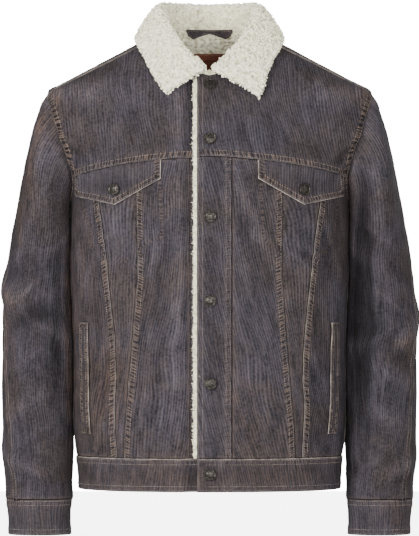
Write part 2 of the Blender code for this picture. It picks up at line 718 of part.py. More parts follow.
def cuff(side, cord):
    cuff_out = 0.6
    turn = np.linspace(0, 360, 25)[:-1]
    z = np.linspace(CUFF_SEAM, CUFF_END, 4)
    points = ring_point(turn[None, :], z[:, None])
    normals = normals_of(ring_point, turn[None, :], z[:, None], 1.0, 1.0)
    centre = np.array([(ring_outer(CUFF_SEAM) + ring_inner(CUFF_SEAM)) / 2, ring_middle(CUFF_SEAM)])
    if np.sum(normals[0, 0, :2] * (points[0, 0, :2] - centre)) < 0:
        normals = -normals
    outer = points + cuff_out * normals
    outer[0, :, 2] -= SEAM_GAP / 2
    inner = outer - BAND_CLOTH * normals
    inner[..., 2] = outer[..., 2]
    flip = np.array([side, 1, 1])
    wall("cuff_" + side_name(side), outer * flip, inner * flip, cord, closed=True)


# --- collar --------------------------------------------------------------------------------

roll_x = column(COLLAR, "angle", "roll_x")
roll_y = column(COLLAR, "angle", "roll_y")
roll_z = column(COLLAR, "angle", "roll_z")
edge_angle = column(COLLAR, "angle", "edge_angle")
edge_height = column(COLLAR, "angle", "edge_z")


def collar_section(angle, side):
    """Points of the collar's cloth at one station, from the neckline over to the edge."""
    start, _ = body(side * angle, neck_height(angle))
    above, _ = body(side * angle, neck_height(angle) + 1.0)
    start = start + COLLAR_LIFT * unit(above - start)
    corner = np.array([side * roll_x(angle), roll_y(angle), roll_z(angle) - COLLAR_CORNER_DROP])
    tip_share = math.exp(-(angle / 12) ** 2)
    resting = side * edge_angle(angle) + COLLAR_TIP_SHIFT * tip_share
    drop = COLLAR_TIP_DROP * tip_share * (side > 0)
    end, _ = body(resting, edge_height(angle) - drop, COLLAR_REST)

    stand, fall = corner - start, end - corner
    stand_length, fall_length = np.linalg.norm(stand), np.linalg.norm(fall)
    cut = min(COLLAR_CORNER_CUT, 0.48 * stand_length)
    before = corner - stand * cut / stand_length
    after = corner + fall * cut / fall_length
    points = [start, (start + before) / 2]
    for t in np.linspace(0, 1, 5):
        points.append(before * (1 - t) ** 2 + 2 * corner * t * (1 - t) + after * t * t)
    outwards = unit(np.cross(fall, np.cross(np.array([0, 0, 1.0]), fall)))
    for t in (0.3, 0.65, 1.0):
        belly = COLLAR_BELLY * 4 * t * (1 - t)
        points.append(after + (end - after) * t + belly * outwards)
    return np.array(points)


def collar_stations():
    """Station angles from the front to the centre back, on the yokes' own neckline points."""
    back = np.linspace(NECK_SIDE_ANGLE, 180, COLLAR_BACK_STEPS + 1)
    return np.concatenate([collar_front_angles(), back[1:]])


def collar_cloth():
    """The collar's cloth from the left front around to the right, and its normals."""
    angles = collar_stations()
    left = [collar_section(angle, 1) for angle in angles]
    right = [collar_section(angle, -1) for angle in angles[-2::-1]]
    cloth = np.stack(left + right, 1)
    for _ in range(3):
        distance, way_out = distance_from_body(cloth[6:])
        cloth[6:] += np.maximum(COLLAR_REST - distance, 0)[..., None] * way_out
    along_section = np.gradient(cloth, axis=0)
    along_collar = np.gradient(cloth, axis=1)
    return cloth, unit(np.cross(along_section, along_collar))


def collar(cord, pile):
    cloth, normals = collar_cloth()
    wall("under_collar", cloth + COLLAR_CLOTH * normals, cloth, cord)
    under = COLLAR_CLOTH + SEAM_GAP
    top = under + COLLAR_PILE
    wall("collar_pile", cloth + top * normals, cloth + under * normals, pile)


# --- what lies on the panels ---------------------------------------------------------------

def laid_piece(name, side, x, z, out, thickness, material):
    """A piece on the front whose points follow the panel under it, moved out."""
    points, normals = body(side * angle_at(x, z), z, out)
    wall(name, points + thickness * normals, points, material)


def flap(side, cord):
    corner_x = np.array([FLAP_SPAN[0], FLAP_POINT_X, FLAP_SPAN[1]])
    corners = angle_at(corner_x, FLAP_INNER_Z)
    angles = np.concatenate([np.linspace(corners[0], corners[1], 6), np.linspace(*corners[1:], 6)[1:]])
    x = x_at(angles, FLAP_INNER_Z)
    top = yoke_seam_height(x) - 0.6
    lower = np.interp(x, corner_x, [FLAP_INNER_Z, FLAP_POINT_Z, FLAP_OUTER_Z])
    share = np.linspace(0, 1, 4)[:, None]
    z = lower * (1 - share) + top * share
    laid_piece("flap_" + side_name(side), side, x[None, :] + 0 * z, z, FLAP_GAP, TRIM_CLOTH, cord)


def welt(side, cord):
    share = np.linspace(0, 1, 7)[:, None]
    middle = WELT_END[0] + (WELT_TOP[0] - WELT_END[0]) * share
    x = middle + WELT_WIDTH * np.array([[-0.5, 0.0, 0.5]])
    z = WELT_END[1] + (WELT_TOP[1] - WELT_END[1]) * share + 0 * x
    laid_piece("welt_" + side_name(side), side, x, z, LAID_GAP, TRIM_CLOTH, cord)


def front_edge_pile(pile):
    """The pile facing that shows past the left front's edge."""
    z = np.concatenate([upright_seam(placket_sides(1)[0])[:, 1], yoke_edge(1)[1:, 1]])[:, None]
    z[0] += 1.0
    x = np.array([[LEFT_EDGE - 5.5, LEFT_EDGE, LEFT_EDGE + 8]]) + 0 * z
    out = -BODY_CLOTH - SEAM_GAP - EDGE_PILE
    laid_piece("front_edge_pile", 1, x, z + 0 * x, out, EDGE_PILE, pile)


def neck_lining(pile):
    grid = back_yoke_grid()
    middle = grid.shape[1] // 2
    grid = grid[1:, middle - LINING_COLUMNS:middle + LINING_COLUMNS + 1]
    points, normals = body(grid[..., 0], grid[..., 1], -BODY_CLOTH - 0.5)
    points[-1] += LINING_DROP * unit(points[-2] - points[-1])
    wall("neck_lining", points, points - NECK_PILE * normals, pile)


def inside_back(x, z, depth):
    """Points inside the back, depth behind its face, and the normals there."""
    return body(180 - angle_at(x, z), z, -depth)


def neck_patch(leather):
    x = np.linspace(-PATCH_HALF_WIDTH, PATCH_HALF_WIDTH, 7)[None, :]
    z = np.linspace(PATCH_SPAN[1], PATCH_SPAN[0], 4)[:, None] + 0 * x
    points, normals = inside_back(x + 0 * z, z, BODY_CLOTH + 0.5 + NECK_PILE + 1.5)
    wall("neck_patch", points, points - PATCH_LEATHER * normals, leather)


def hanger_loop(cord):
    """A flat strip along the neck seam, on the collar's pile."""
    cloth, normals = collar_cloth()
    face = cloth + (COLLAR_CLOTH + SEAM_GAP + COLLAR_PILE + LOOP_GAP) * normals
    middle = face.shape[1] // 2
    low, high = face[0, middle - 2:middle + 3], face[1, middle - 2:middle + 3]
    strip = np.stack([low + (high - low) * share for share in LOOP_SPAN])
    strip[:, 0] += (strip[:, 1] - strip[:, 0]) / 2
    strip[:, -1] += (strip[:, -2] - strip[:, -1]) / 2
    way_in = np.repeat(normals[:1, middle - 2:middle + 3], 2, axis=0)
    wall("hanger_loop", strip + LOOP_CLOTH * way_in, strip, cord)


# --- buttons -------------------------------------------------------------------------------

def button(name, x, z, seat, metal):
    """A shank button, turned about its axis and stood on the cloth at x and z."""
    point, normal = body(angle_at(x, z), z, seat)
    sideways = unit(np.cross(np.array([0, 0, 1.0]), normal))
    upwards = np.cross(normal, sideways)
    bm = bmesh.new()
    profile = [bm.verts.new((p.radius, 0, p.height)) for p in BUTTON_PROFILE]
    edges = [bm.edges.new(pair) for pair in zip(profile, profile[1:])]
    bmesh.ops.spin(bm, geom=profile + edges, cent=(0, 0, 0), axis=(0, 0, 1),
                   angle=math.tau, steps=BUTTON_SIDES, use_merge=True, use_duplicate=False)
    bmesh.ops.remove_doubles(bm, verts=bm.verts, dist=0.001)
    bmesh.ops.holes_fill(bm, edges=[e for e in bm.edges if e.is_boundary])
    for vert in bm.verts:
        local = np.array(vert.co)
        place = point + local[0] * sideways + local[1] * upwards + local[2] * normal
        vert.co = place * MM
    finish_mesh(name, bm, metal)


def buttons(metal):
    seat = 0.35
    for number, z in enumerate(FRONT_BUTTON_HEIGHTS, 1):
        band = 1.0 if z < WAIST_SEAM else 0.0
        button(f"button_front_{number}", BUTTON_X, z, seat + band, metal)
    flap_seat = FLAP_GAP + TRIM_CLOTH + 0.5
    for side in (1, -1):
        button("button_flap_" + side_name(side), side * FLAP_POINT_X, FLAP_BUTTON_Z, flap_seat, metal)


# --- all of it -----------------------------------------------------------------------------

def material(name, colour, roughness, metallic=0.0):
    made = bpy.data.materials.new(name)
    made.use_nodes = True
    shader = made.node_tree.nodes["Principled BSDF"]
    shader.inputs["Base Color"].default_value = (*colour, 1.0)
    shader.inputs["Roughness"].default_value = roughness
    shader.inputs["Metallic"].default_value = metallic
    return made


def main():
    for old in list(bpy.data.objects):
        bpy.data.objects.remove(old, do_unlink=True)
    cord = material("cord", CORD_COLOUR, 0.9)
    dark_cord = material("cord_trim", CORD_DARK, 0.9)
    pile = material("pile", PILE_COLOUR, 1.0)
    leather = material("leather", LEATHER_COLOUR, 0.6)
    metal = material("antique_metal", METAL_COLOUR, 0.45, 0.9)
    for side in (1, -1):
        front_yoke(side, cord)
        lower_front(side, cord)
        sleeve(side, cord)
        cuff(side, dark_cord)
        flap(side, dark_cord)
        welt(side, dark_cord)
    back_yoke(cord)
    back_panel(cord)
    waistband(dark_cord)
    collar(dark_cord, pile)
    front_edge_pile(pile)
    neck_lining(pile)
    neck_patch(leather)
    hanger_loop(dark_cord)
    buttons(metal)


main()
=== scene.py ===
# %% [markdown]
# # A cord jacket with a sherpa lining
#
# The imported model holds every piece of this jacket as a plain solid. Here each piece is made
# again as cloth, on the same form: panels with their lapped and topstitched seams, a collar of
# curly pile, turned buttons and a leather patch. Nothing is fitted by hand afterwards, because
# the panels come from the same sections and seam lines as the solids.

import math
from collections import namedtuple

import bmesh
import bpy
import numpy as np
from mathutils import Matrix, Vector
from mathutils.kdtree import KDTree


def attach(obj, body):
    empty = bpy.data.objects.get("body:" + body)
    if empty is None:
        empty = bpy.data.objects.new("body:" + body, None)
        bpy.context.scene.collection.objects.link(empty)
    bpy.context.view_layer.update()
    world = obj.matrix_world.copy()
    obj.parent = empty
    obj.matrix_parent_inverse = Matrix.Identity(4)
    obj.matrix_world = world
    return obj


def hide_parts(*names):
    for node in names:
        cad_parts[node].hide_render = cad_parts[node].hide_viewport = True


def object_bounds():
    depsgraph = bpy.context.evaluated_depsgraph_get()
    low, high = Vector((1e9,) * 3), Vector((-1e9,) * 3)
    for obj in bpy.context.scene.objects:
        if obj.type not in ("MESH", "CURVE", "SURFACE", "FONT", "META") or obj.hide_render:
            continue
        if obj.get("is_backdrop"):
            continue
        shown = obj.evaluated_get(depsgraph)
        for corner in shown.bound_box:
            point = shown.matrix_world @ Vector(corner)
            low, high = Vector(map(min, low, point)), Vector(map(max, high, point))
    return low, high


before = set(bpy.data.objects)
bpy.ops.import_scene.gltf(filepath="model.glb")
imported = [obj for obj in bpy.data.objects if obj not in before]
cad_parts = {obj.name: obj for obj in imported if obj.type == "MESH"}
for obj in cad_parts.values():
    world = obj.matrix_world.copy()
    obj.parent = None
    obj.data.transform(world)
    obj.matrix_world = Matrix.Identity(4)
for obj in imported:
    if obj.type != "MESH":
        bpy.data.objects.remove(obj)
cad_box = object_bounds()
print("CAD nodes:", len(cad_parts), "box", [round(v, 3) for v in (*cad_box[0], *cad_box[1])])

# %% [markdown]
# ## Camera, light and floor
#
# The jacket is seen square from the front, from far away, so that its outline is nearly that of
# a flat projection. A long lens does this. The wearer faces -Y, and lengths are kept in
# millimetres until a mesh, a lamp or a camera needs metres.

# %% Camera
MM = 0.001
VIEW_HEIGHT = 777.0         # what the picture takes in from top to bottom, at the jacket
VIEW_CENTRE = -345.0
VIEW_DISTANCE = 6000.0
SENSOR = 36.0               # on the picture's long side


def new_object(name, data):
    made = bpy.data.objects.new(name, data)
    bpy.context.scene.collection.objects.link(made)
    return made


camera = new_object("camera", bpy.data.cameras.new("camera"))
camera.data.sensor_width = SENSOR
camera.data.lens = SENSOR * VIEW_DISTANCE / VIEW_HEIGHT
camera.location = (0, -(VIEW_DISTANCE + 60) * MM, VIEW_CENTRE * MM)
camera.rotation_euler = (math.radians(90), 0, 0)
bpy.context.scene.camera = camera
print("lens", round(camera.data.lens, 1), "mm")

# %% Light
LAMPS = {                   # place in metres, size in metres, watts
    "key": ((-2.2, -2.9, 0.2), 1.2, 150.0),
    "fill": ((1.8, -3.0, 0.1), 2.0, 46.0),
    "front": ((0.2, -3.4, -0.7), 1.4, 165.0),
    "back": ((1.6, 3.0, 0.9), 2.0, 70.0),
}
AIM = Vector((0, 0, VIEW_CENTRE * MM))
for lamp_name, (where, size, watts) in LAMPS.items():
    lamp = new_object(lamp_name, bpy.data.lights.new(lamp_name, "AREA"))
    lamp.data.size = size
    lamp.data.energy = watts
    lamp.location = where
    lamp.rotation_euler = (AIM - lamp.location).to_track_quat("-Z", "Y").to_euler()

ROOM_LIGHT = 0.65           # how bright the white room is as a light, and as what the camera sees
ROOM_WHITE = 20.0

world = bpy.data.worlds.new("studio")
world.use_nodes = True
room = world.node_tree
seen = room.nodes.new("ShaderNodeLightPath")
strength = room.nodes.new("ShaderNodeMapRange")
strength.inputs["To Min"].default_value = ROOM_LIGHT
strength.inputs["To Max"].default_value = ROOM_WHITE
room.links.new(seen.outputs["Is Camera Ray"], strength.inputs["Value"])
room.links.new(strength.outputs[0], room.nodes["Background"].inputs["Strength"])
room.nodes["Background"].inputs["Color"].default_value = (1.0, 1.0, 1.0, 1.0)
bpy.context.scene.world = world
print("lamps:", ", ".join(LAMPS))

# %% [markdown]
# ## The form under the cloth
#
# A jacket that is worn takes its shape from a few cross sections. Each row of the table is one
# height: half the width there, and the depth to the front and to the back. A smooth curve runs
# through every column, so a point on the cloth is found from two numbers: an angle around the
# body (0 is the centre front, 90 the wearer's left side, 180 the centre back) and a height.

# %% Sections of the body
def table(kind, text):
    """Rows of numbers, parted by bars or line ends. A line that starts with # is a note."""
    lines = [line for line in text.splitlines() if not line.strip().startswith("#")]
    rows = [row.split() for line in lines for row in line.split("|") if row.strip()]
    return [kind(*map(float, row)) for row in rows]


Section = namedtuple("Section", "z half_width front back")
BODY = table(Section, """
    0 75 38 72 | -30 131 62 88 | -68 202.4 88 102 | -87 236 99 107
    -100 243 106 110 | -120 243 114 113.5 | -150 239 124 118 | -180 226 130 120
    -215 208 134 121 | -245 203.5 136 120.5 | -350 203 134 114 | -420 200 131 110
    -500 198 129.5 108 | -565 199 127.5 109 | -619 194 124 110.5 | -667 190 122 112
""")
ROUNDNESS = 2.25            # 2 would make every section a pair of half ellipses
GIRTH_SCALE = 165.0         # mm of cloth to a radian around the body


def bend(t, start, end, leaving, arriving):
    """A smooth way from start to end as t goes from 0 to 1, with its slopes at both."""
    return (start * (1 + 2 * t) * (1 - t) ** 2 + end * t * t * (3 - 2 * t)
            + leaving * t * (1 - t) ** 2 - arriving * t * t * (1 - t))


def curve_through(knots, values):
    """A smooth curve through points that never swings past them, straight beyond its ends."""
    order = np.argsort(knots)
    x = np.asarray(knots, float)[order]
    y = np.asarray(values, float)[order]
    step = np.diff(x)
    slope = np.diff(y) / step
    product = slope[:-1] * slope[1:]
    total = np.where(product > 0, slope[:-1] + slope[1:], 1.0)
    inner = np.where(product > 0, 2 * product / total, 0.0)
    tangent = np.concatenate([slope[:1], inner, slope[-1:]])

    def value(at):
        at = np.asarray(at, float)
        k = np.clip(np.searchsorted(x, at) - 1, 0, len(step) - 1)
        t = np.clip((at - x[k]) / step[k], 0, 1)
        inside = bend(t, y[k], y[k + 1], step[k] * tangent[k], step[k] * tangent[k + 1])
        before, after = np.minimum(at - x[0], 0), np.maximum(at - x[-1], 0)
        return inside + before * tangent[0] + after * tangent[-1]

    return value


def columns(rows):
    """Each further column of a table as a smooth function of its first column."""
    keys, *others = zip(*rows)
    return [curve_through(keys, values) for values in others]


half_width, front_depth, back_depth = columns(BODY)
print("chest at -245 mm:", 2 * float(half_width(-245)), "wide,",
      float(front_depth(-245) + back_depth(-245)), "deep")


# %% [markdown]
# ## Folds and creases
#
# Folds are placed one by one. Each is a soft ridge or trough with its own place, slant, length and
# width. The large ones are the solid's own; the smaller creases are added here. A crease is a
# ridge with a shallower trough along one side, which is how cloth that is pushed together bends.
# Tilt 0 runs around the body and 90 straight up, and a trough's height is negative.

# %% Folds and creases of the body
Fold = namedtuple("Fold", "angle z tilt length width height")
BODY_FOLDS = table(Fold, """
    58 -325 50 60 24 -4.5 | 46 -350 50 70 26 3.5 | -58 -325 -50 60 24 -4.5
    -46 -355 -50 70 26 3.5 | 20 -370 74 80 24 -3.5 | -24 -360 -72 80 24 -3.5
    40 -470 82 110 24 3.0 | -38 -480 -84 110 24 3.2 | 60 -585 20 60 26 -3.0
    -64 -590 -24 60 26 -3.0 | 128 -320 -55 80 24 -5.0 | -130 -330 52 80 24 -5.0
    150 -420 80 130 26 4.0 | -154 -430 -82 130 26 4.0 | 180 -500 88 120 24 -4.0
    128 -560 12 80 20 -4.0 | -132 -570 -14 80 20 -4.0
""")
BODY_CREASES = table(Fold, """
    # below the left yoke the cloth drapes from the button strip towards the pocket
    14 -262 -74 62 6 1.5 | 18 -300 -70 80 7 1.8 | 24 -318 -70 70 6 1.4
    12 -345 -76 60 6 1.2
    # the right front falls straighter
    -14 -275 80 60 7 1.2 | -20 -330 78 90 7 1.4 | -13 -420 86 70 7 1.2
    -24 -500 84 70 7 1.3
    # slanting creases between the pocket and the front seams
    -47 -462 66 46 6 1.7 | -52 -578 60 50 7 1.9 | -38 -536 62 52 6 1.5
    -58 -350 58 40 6 1.4 | -44 -300 20 26 5 1.2 | -60 -610 30 30 5 1.2
    42 -318 -28 30 5 1.6 | 38 -335 -40 26 5 1.2 | 48 -480 -62 50 6 1.4
    40 -545 -70 46 6 1.2 | 62 -600 -14 24 4.5 1.6 | 56 -420 -70 50 7 1.4
    58 -300 -60 40 6 1.4 | 22 -560 84 60 7 1.1
    # across the chest, where the arms pull
    56 -172 40 30 6 1.3 | -55 -168 -36 34 6 1.2 | -60 -196 -20 22 5 1.1
    60 -200 22 20 5 1.2 | 36 -120 66 40 9 0.9 | -34 -128 -70 44 9 0.9
    # the back
    132 -262 -40 60 7 1.8 | 122 -300 -58 50 6 1.5 | -134 -270 44 60 7 1.8
    -122 -310 60 50 6 1.5 | 166 -330 82 90 8 1.5 | -160 -350 -80 90 8 1.5
    176 -480 88 80 8 1.3 | 150 -560 14 50 6 1.5 | -148 -575 -10 60 6 1.6
    120 -520 24 40 6 1.4 | -118 -500 -28 40 6 1.4 | 150 -210 -16 50 7 1.1
    -146 -214 18 50 7 1.1
""")
CALM_SIDE = 16.0            # degrees each side of the side seam, where the sleeve lies
CALM_FADE = 16.0
TROUGH_SHARE, TROUGH_AT, TROUGH_WIDTH = 0.6, 1.7, 1.2   # beside a crease, in its own widths


def smoothstep(t):
    t = np.clip(t, 0, 1)
    return t * t * (3 - 2 * t)


def unit(vectors):
    return vectors / np.maximum(np.linalg.norm(vectors, axis=-1, keepdims=True), 1e-9)


def fold_height(folds, creases, angle, z, girth_scale):
    """Sum of the folds and the creases at a place given by angle and height."""
    total = np.zeros(np.broadcast(angle, z).shape)
    for number, fold in enumerate([*folds, *creases]):
        around = np.radians((angle - fold.angle + 180) % 360 - 180) * girth_scale
        up = z - fold.z
        tilt = math.radians(fold.tilt)
        along = around * math.cos(tilt) + up * math.sin(tilt)
        across = (up * math.cos(tilt) - around * math.sin(tilt)) / fold.width
        profile = np.exp(-across ** 2)
        if number >= len(folds):
            profile = profile - TROUGH_SHARE * np.exp(-((across + TROUGH_AT) / TROUGH_WIDTH) ** 2)
        total += fold.height * np.exp(-(along / fold.length) ** 2) * profile
    return total


print(len(BODY_FOLDS), "folds,", len(BODY_CREASES), "creases on the body")


# %% A point on the body
def normals_of(surface, u, v, du, dv):
    """Outward normals of surface(u, v), from small steps each way."""
    along_u = surface(u + du, v) - surface(u - du, v)
    along_v = surface(u, v + dv) - surface(u, v - dv)
    return unit(np.cross(along_u, along_v))


def rounded(share):
    return np.sign(share) * np.abs(share) ** (2 / ROUNDNESS)


def plain_body(angle, z):
    s, c = np.sin(np.radians(angle)), np.cos(np.radians(angle))
    x = half_width(z) * rounded(s)
    y = -np.where(c > 0, front_depth(z), back_depth(z)) * rounded(c)
    return np.stack([x, y, z + np.zeros_like(x)], -1)


def folded_body(angle, z):
    height = fold_height(BODY_FOLDS, BODY_CREASES, angle, z, GIRTH_SCALE)
    from_side = np.abs(np.abs((angle + 180) % 360 - 180) - 90)
    height = height * smoothstep((from_side - CALM_SIDE) / CALM_FADE)
    return plain_body(angle, z) + height[..., None] * normals_of(plain_body, angle, z, 0.5, 0.5)


def body(angle, z, out=0.0):
    """Points on the body's cloth, moved outwards by out, and the normals there."""
    angle, z = np.broadcast_arrays(np.asarray(angle, float), np.asarray(z, float))
    normals = normals_of(folded_body, angle, z, 0.5, 0.5)
    return folded_body(angle, z) + np.broadcast_to(out, angle.shape)[..., None] * normals, normals


def angle_at(x, z):
    """The body angle at which the front lies at this x."""
    share = np.clip(np.abs(x) / half_width(z), 0, 1)
    return np.sign(x) * np.degrees(np.arcsin(share ** (ROUNDNESS / 2)))


def on_front(x, z, out=0.0, side=1):
    """The same as body, for a place on the front that is given by x and z."""
    return body(side * angle_at(x, z), z, out)


def x_at(angle, z):
    return half_width(z) * rounded(np.abs(np.sin(np.radians(angle))))


# %% [markdown]
# ## Seam lines
#
# A pattern cutter draws the seams first. Each is a line of (angle, height) pairs, written as a
# function of a share from 0 to 1, so that any panel can sample it as finely as it needs. All are
# drawn for the wearer's left and mirrored for the right.

# %% Heights and seams
WAIST_SEAM = -619.0
HEM = -667.0
BACK_YOKE_CENTRE = -166.0
FRONT_EDGE = -18.0          # each front reaches past the middle, as far as this x on its own side
LEFT_PLACKET_SEAM, RIGHT_PLACKET_SEAM = 32.0, 28.0
NECK_SIDE_ANGLE = 57.0      # where the shoulder seam meets the neckline

NeckPoint = namedtuple("NeckPoint", "angle z")
NECKLINE = table(NeckPoint, """
    0 -69 | 6 -61 | 12 -50 | 24 -33 | 40 -19 | 60 -9 | 90 -3 | 120 -3.5 | 150 -6 | 180 -8
""")
YokePoint = namedtuple("YokePoint", "x z")
YOKE_SEAM = table(YokePoint, """
    0 -184 | 30 -186 | 70 -189.5 | 109 -194 | 135 -198 | 165 -204 | 190 -210 | 204 -216
""")
SeamPoint = namedtuple("SeamPoint", "z inner outer")
FRONT_SEAMS = table(SeamPoint, """
    -184 104 164.5 | -246 105 160.5 | -278 105 155.7 | -313 104.5 150.5
    -349 104.5 145.7 | -391 106.5 141 | -457 111 134.5 | -505 115 133
    -538 118 135.5 | -576 121.4 135.5 | -619 123.6 133.5
""")
neck_height, = columns(NECKLINE)
yoke_seam_height, = columns(YOKE_SEAM)
inner_seam_x, outer_seam_x = columns(FRONT_SEAMS)
FRONT_NECK_Z = float(neck_height(3.0)) - 2.0    # where the front edges end at the neck

ARMHOLE_MIDDLE = -166.0
ARMHOLE_HALF_HEIGHT = 80.0
ARMHOLE_SPREAD = 24.5       # degrees of body angle to each side
ARMHOLE_NARROWING = 0.44    # how much tighter the loop is at its bottom
TURN_SHOULDER, TURN_YOKE, TURN_SIDE, TURN_BACK_YOKE, TURN_SLEEVE_SEAM = 30, 128, 180, 262, 374


def pairs(angle, z):
    return np.stack(np.broadcast_arrays(np.asarray(angle, float), np.asarray(z, float)), -1)


def armhole(turn):
    """The loop of the armhole. Turn 0 is its top, 90 its front and 180 its bottom."""
    s, c = np.sin(np.radians(turn)), np.cos(np.radians(turn))
    spread = ARMHOLE_SPREAD * (1 - ARMHOLE_NARROWING * np.minimum(c, 0) ** 2)
    return pairs(90 - spread * s, ARMHOLE_MIDDLE + ARMHOLE_HALF_HEIGHT * c)


def yoke_height(angle):
    z = np.full(np.shape(angle), -195.0)
    for _ in range(6):
        z = yoke_seam_height(x_at(angle, z))
    return z


def arm_line(start, end):
    return lambda s: armhole(start + (end - start) * s)


def level_line(z, start, end):
    """A level line between two body angles."""
    return lambda s: pairs(start + (end - start) * s, z)


def upright_line(angle, low, high):
    return lambda s: pairs(angle, low + (high - low) * s)


def yoke_line(start, end):
    return lambda s: pairs(start + (end - start) * s, yoke_height(start + (end - start) * s))


def front_seam(x_of_z):
    """A lower front seam from the waist seam up to the yoke seam."""
    top = -190.0
    for _ in range(6):
        top = float(yoke_seam_height(abs(x_of_z(top))))

    def line(s):
        z = WAIST_SEAM + (top - WAIST_SEAM) * s
        return pairs(angle_at(x_of_z(z), z), z)

    return line


def front_lines(side):
    """Edge, placket seam, inner seam and outer seam of one front, in that order."""
    placket_x = LEFT_PLACKET_SEAM if side > 0 else RIGHT_PLACKET_SEAM
    straight = [lambda z, x=x: x + 0 * np.asarray(z, float) for x in (FRONT_EDGE, placket_x)]
    return [front_seam(x_of_z) for x_of_z in (*straight, inner_seam_x, outer_seam_x)]


SHOULDER_BEND = (-45.0, 66.0)   # height and angle half way along the shoulder seam


def shoulder_line(s):
    """From the armhole up to the neck."""
    arm_angle, arm_z = armhole(TURN_SHOULDER)
    neck_z = float(neck_height(NECK_SIDE_ANGLE))
    knots = np.array([(arm_z, arm_angle), SHOULDER_BEND, (neck_z, NECK_SIDE_ANGLE)])
    angle_of = curve_through(*knots.T)
    z = arm_z + (neck_z - arm_z) * s
    return pairs(angle_of(z), z)


def back_yoke_line(s):
    arm_angle, arm_z = armhole(TURN_BACK_YOKE)
    angle = arm_angle + (360 - 2 * arm_angle) * s
    share = np.abs(angle - 180) / (180 - arm_angle)
    return pairs(angle, BACK_YOKE_CENTRE + (arm_z - BACK_YOKE_CENTRE) * share ** 2)


def mirrored(line):
    """The same line on the right of the back, run the other way."""
    def other(s):
        found = line(1 - s)
        return pairs(360 - found[:, 0], found[:, 1])

    return other


def reverse(line):
    return lambda s: line(1 - s)


def steps_of(points, axis=0):
    """Distances between neighbouring points."""
    return np.linalg.norm(np.diff(points, axis=axis), axis=-1)


def running_total(steps, axis=0):
    """How far each point is from the first one."""
    total = np.cumsum(steps, axis)
    return np.concatenate([np.zeros_like(np.take(total, [0], axis)), total], axis)


def length_of(line):
    """Length of a seam line on the body, in mm."""
    found = line(np.linspace(0, 1, 41))
    return float(steps_of(body(found[:, 0], found[:, 1])[0]).sum())


def joints_of(*lines):
    """The shares of a chain of lines at which each of them ends."""
    lengths = [length_of(line) for line in lines]
    return np.cumsum(lengths) / sum(lengths)


def chain(*lines):
    """Several lines end to end, each taking the share of its length."""
    ends = np.concatenate([[0], joints_of(*lines)])

    def line(s):
        s = np.asarray(s, float)
        k = np.clip(np.searchsorted(ends, s, side="right") - 1, 0, len(lines) - 1)
        found = np.zeros((len(s), 2))
        for number, part in enumerate(lines):
            mine = k == number
            if mine.any():
                found[mine] = part((s[mine] - ends[number]) / (ends[number + 1] - ends[number]))
        return found

    return line


print("yoke seam from", YOKE_SEAM[0].z, "to", YOKE_SEAM[-1].z, "mm")

# %% [markdown]
# ## From seam lines to a panel of cloth
#
# A panel lies between four lines. Coons's rule fills the inside with a grid, and each grid point
# is looked up on the form. The grid is closer along its borders, because that is where a lapped
# seam has its small steps.
#
# Every point also learns how far it is from the seams and how far along them. Real seams do two
# things to the cloth. The piece on top is folded under and stitched through, so a band about
# 10 mm wide stands a little proud, drawn up by the stitches into small puckers. The piece below
# dips beside it. The band is built into the mesh. The puckers are only a few millimetres apart,
# so the cloth's material makes them, from the two stored distances.

# %% Grids between seam lines
GRID_STEP = 3.2
NEAR_BORDER = (0.0, 0.7, 1.8, 3.3)      # mm from a border where the first points lie
FIRST_EVEN = 5.4                        # mm from a border where the even steps start


def spaced(length):
    """Shares from 0 to 1 along a side of this length, closer at its ends."""
    near = np.array(NEAR_BORDER)
    count = max(round((length - 10) / GRID_STEP), 2)
    middle = np.linspace(FIRST_EVEN, length - FIRST_EVEN, count)
    return np.concatenate([near, middle, length - near[::-1]]) / length


def grid_between(lines, su, sv):
    """A grid of (angle, z) pairs between the bottom, top, left and right lines."""
    low, high, first, last = (line(at) for line, at in zip(lines, (su, su, sv, sv)))
    u, v = su[None, :, None], sv[:, None, None]
    corners = ((1 - u) * (1 - v) * low[0] + u * (1 - v) * low[-1]
               + (1 - u) * v * high[0] + u * v * high[-1])
    return ((1 - u) * first[:, None] + u * last[:, None]
            + (1 - v) * low[None] + v * high[None] - corners)


def patch(*lines):
    bottom, top, left, right = map(length_of, lines)
    return grid_between(lines, spaced(max(bottom, top)), spaced(max(left, right)))


STRAIGHT_EASE = 1.03        # how much wider the cloth is than the straight view of it


def cut_map(points, straight_down=False, slant=0.0):
    """Where each grid point lay on the flat cloth: across the wales and along them, in mm."""
    across = running_total(steps_of(points, 1), 1)
    width = across[:, -1:].copy()
    across = across / np.maximum(width, 1e-6) * width.mean()
    if straight_down:
        across = points[..., 0] * STRAIGHT_EASE
    along = running_total(steps_of(points, 0), 0)
    first = points[0, 0]
    return np.stack([across + first[0] + slant * points[..., 2], along + first[2]], -1)


# %% Distance from the seams
Seam = namedtuple("Seam", "line kind")
REACH = 40.0                            # no seam is felt further away than this
Kind = namedtuple("Kind", "rungs edge width")
KINDS = {                               # how much a seam puckers, how worn its edge is, how wide
    "lap": Kind(0.85, 0.3, 1.0),        # folded under and stitched twice through the piece below
    "armhole": Kind(1.05, 0.35, 1.5),   # the same, drawn up more
    "flap": Kind(0.75, 1.0, 1.0),       # a free folded edge, stitched twice
    "welt": Kind(0.9, 0.6, 0.7),        # a narrow folded strip
    "band": Kind(0.3, 0.8, 1.0),        # the top of a waistband or a cuff
    "felled": Kind(0.3, 0.0, 1.0),      # a flat seam
    "edge": Kind(0.12, 0.2, 1.0),       # a free folded edge, pressed flat
    "line": Kind(0.0, 0.0, 1.0),        # a single row of stitches in the open cloth
}


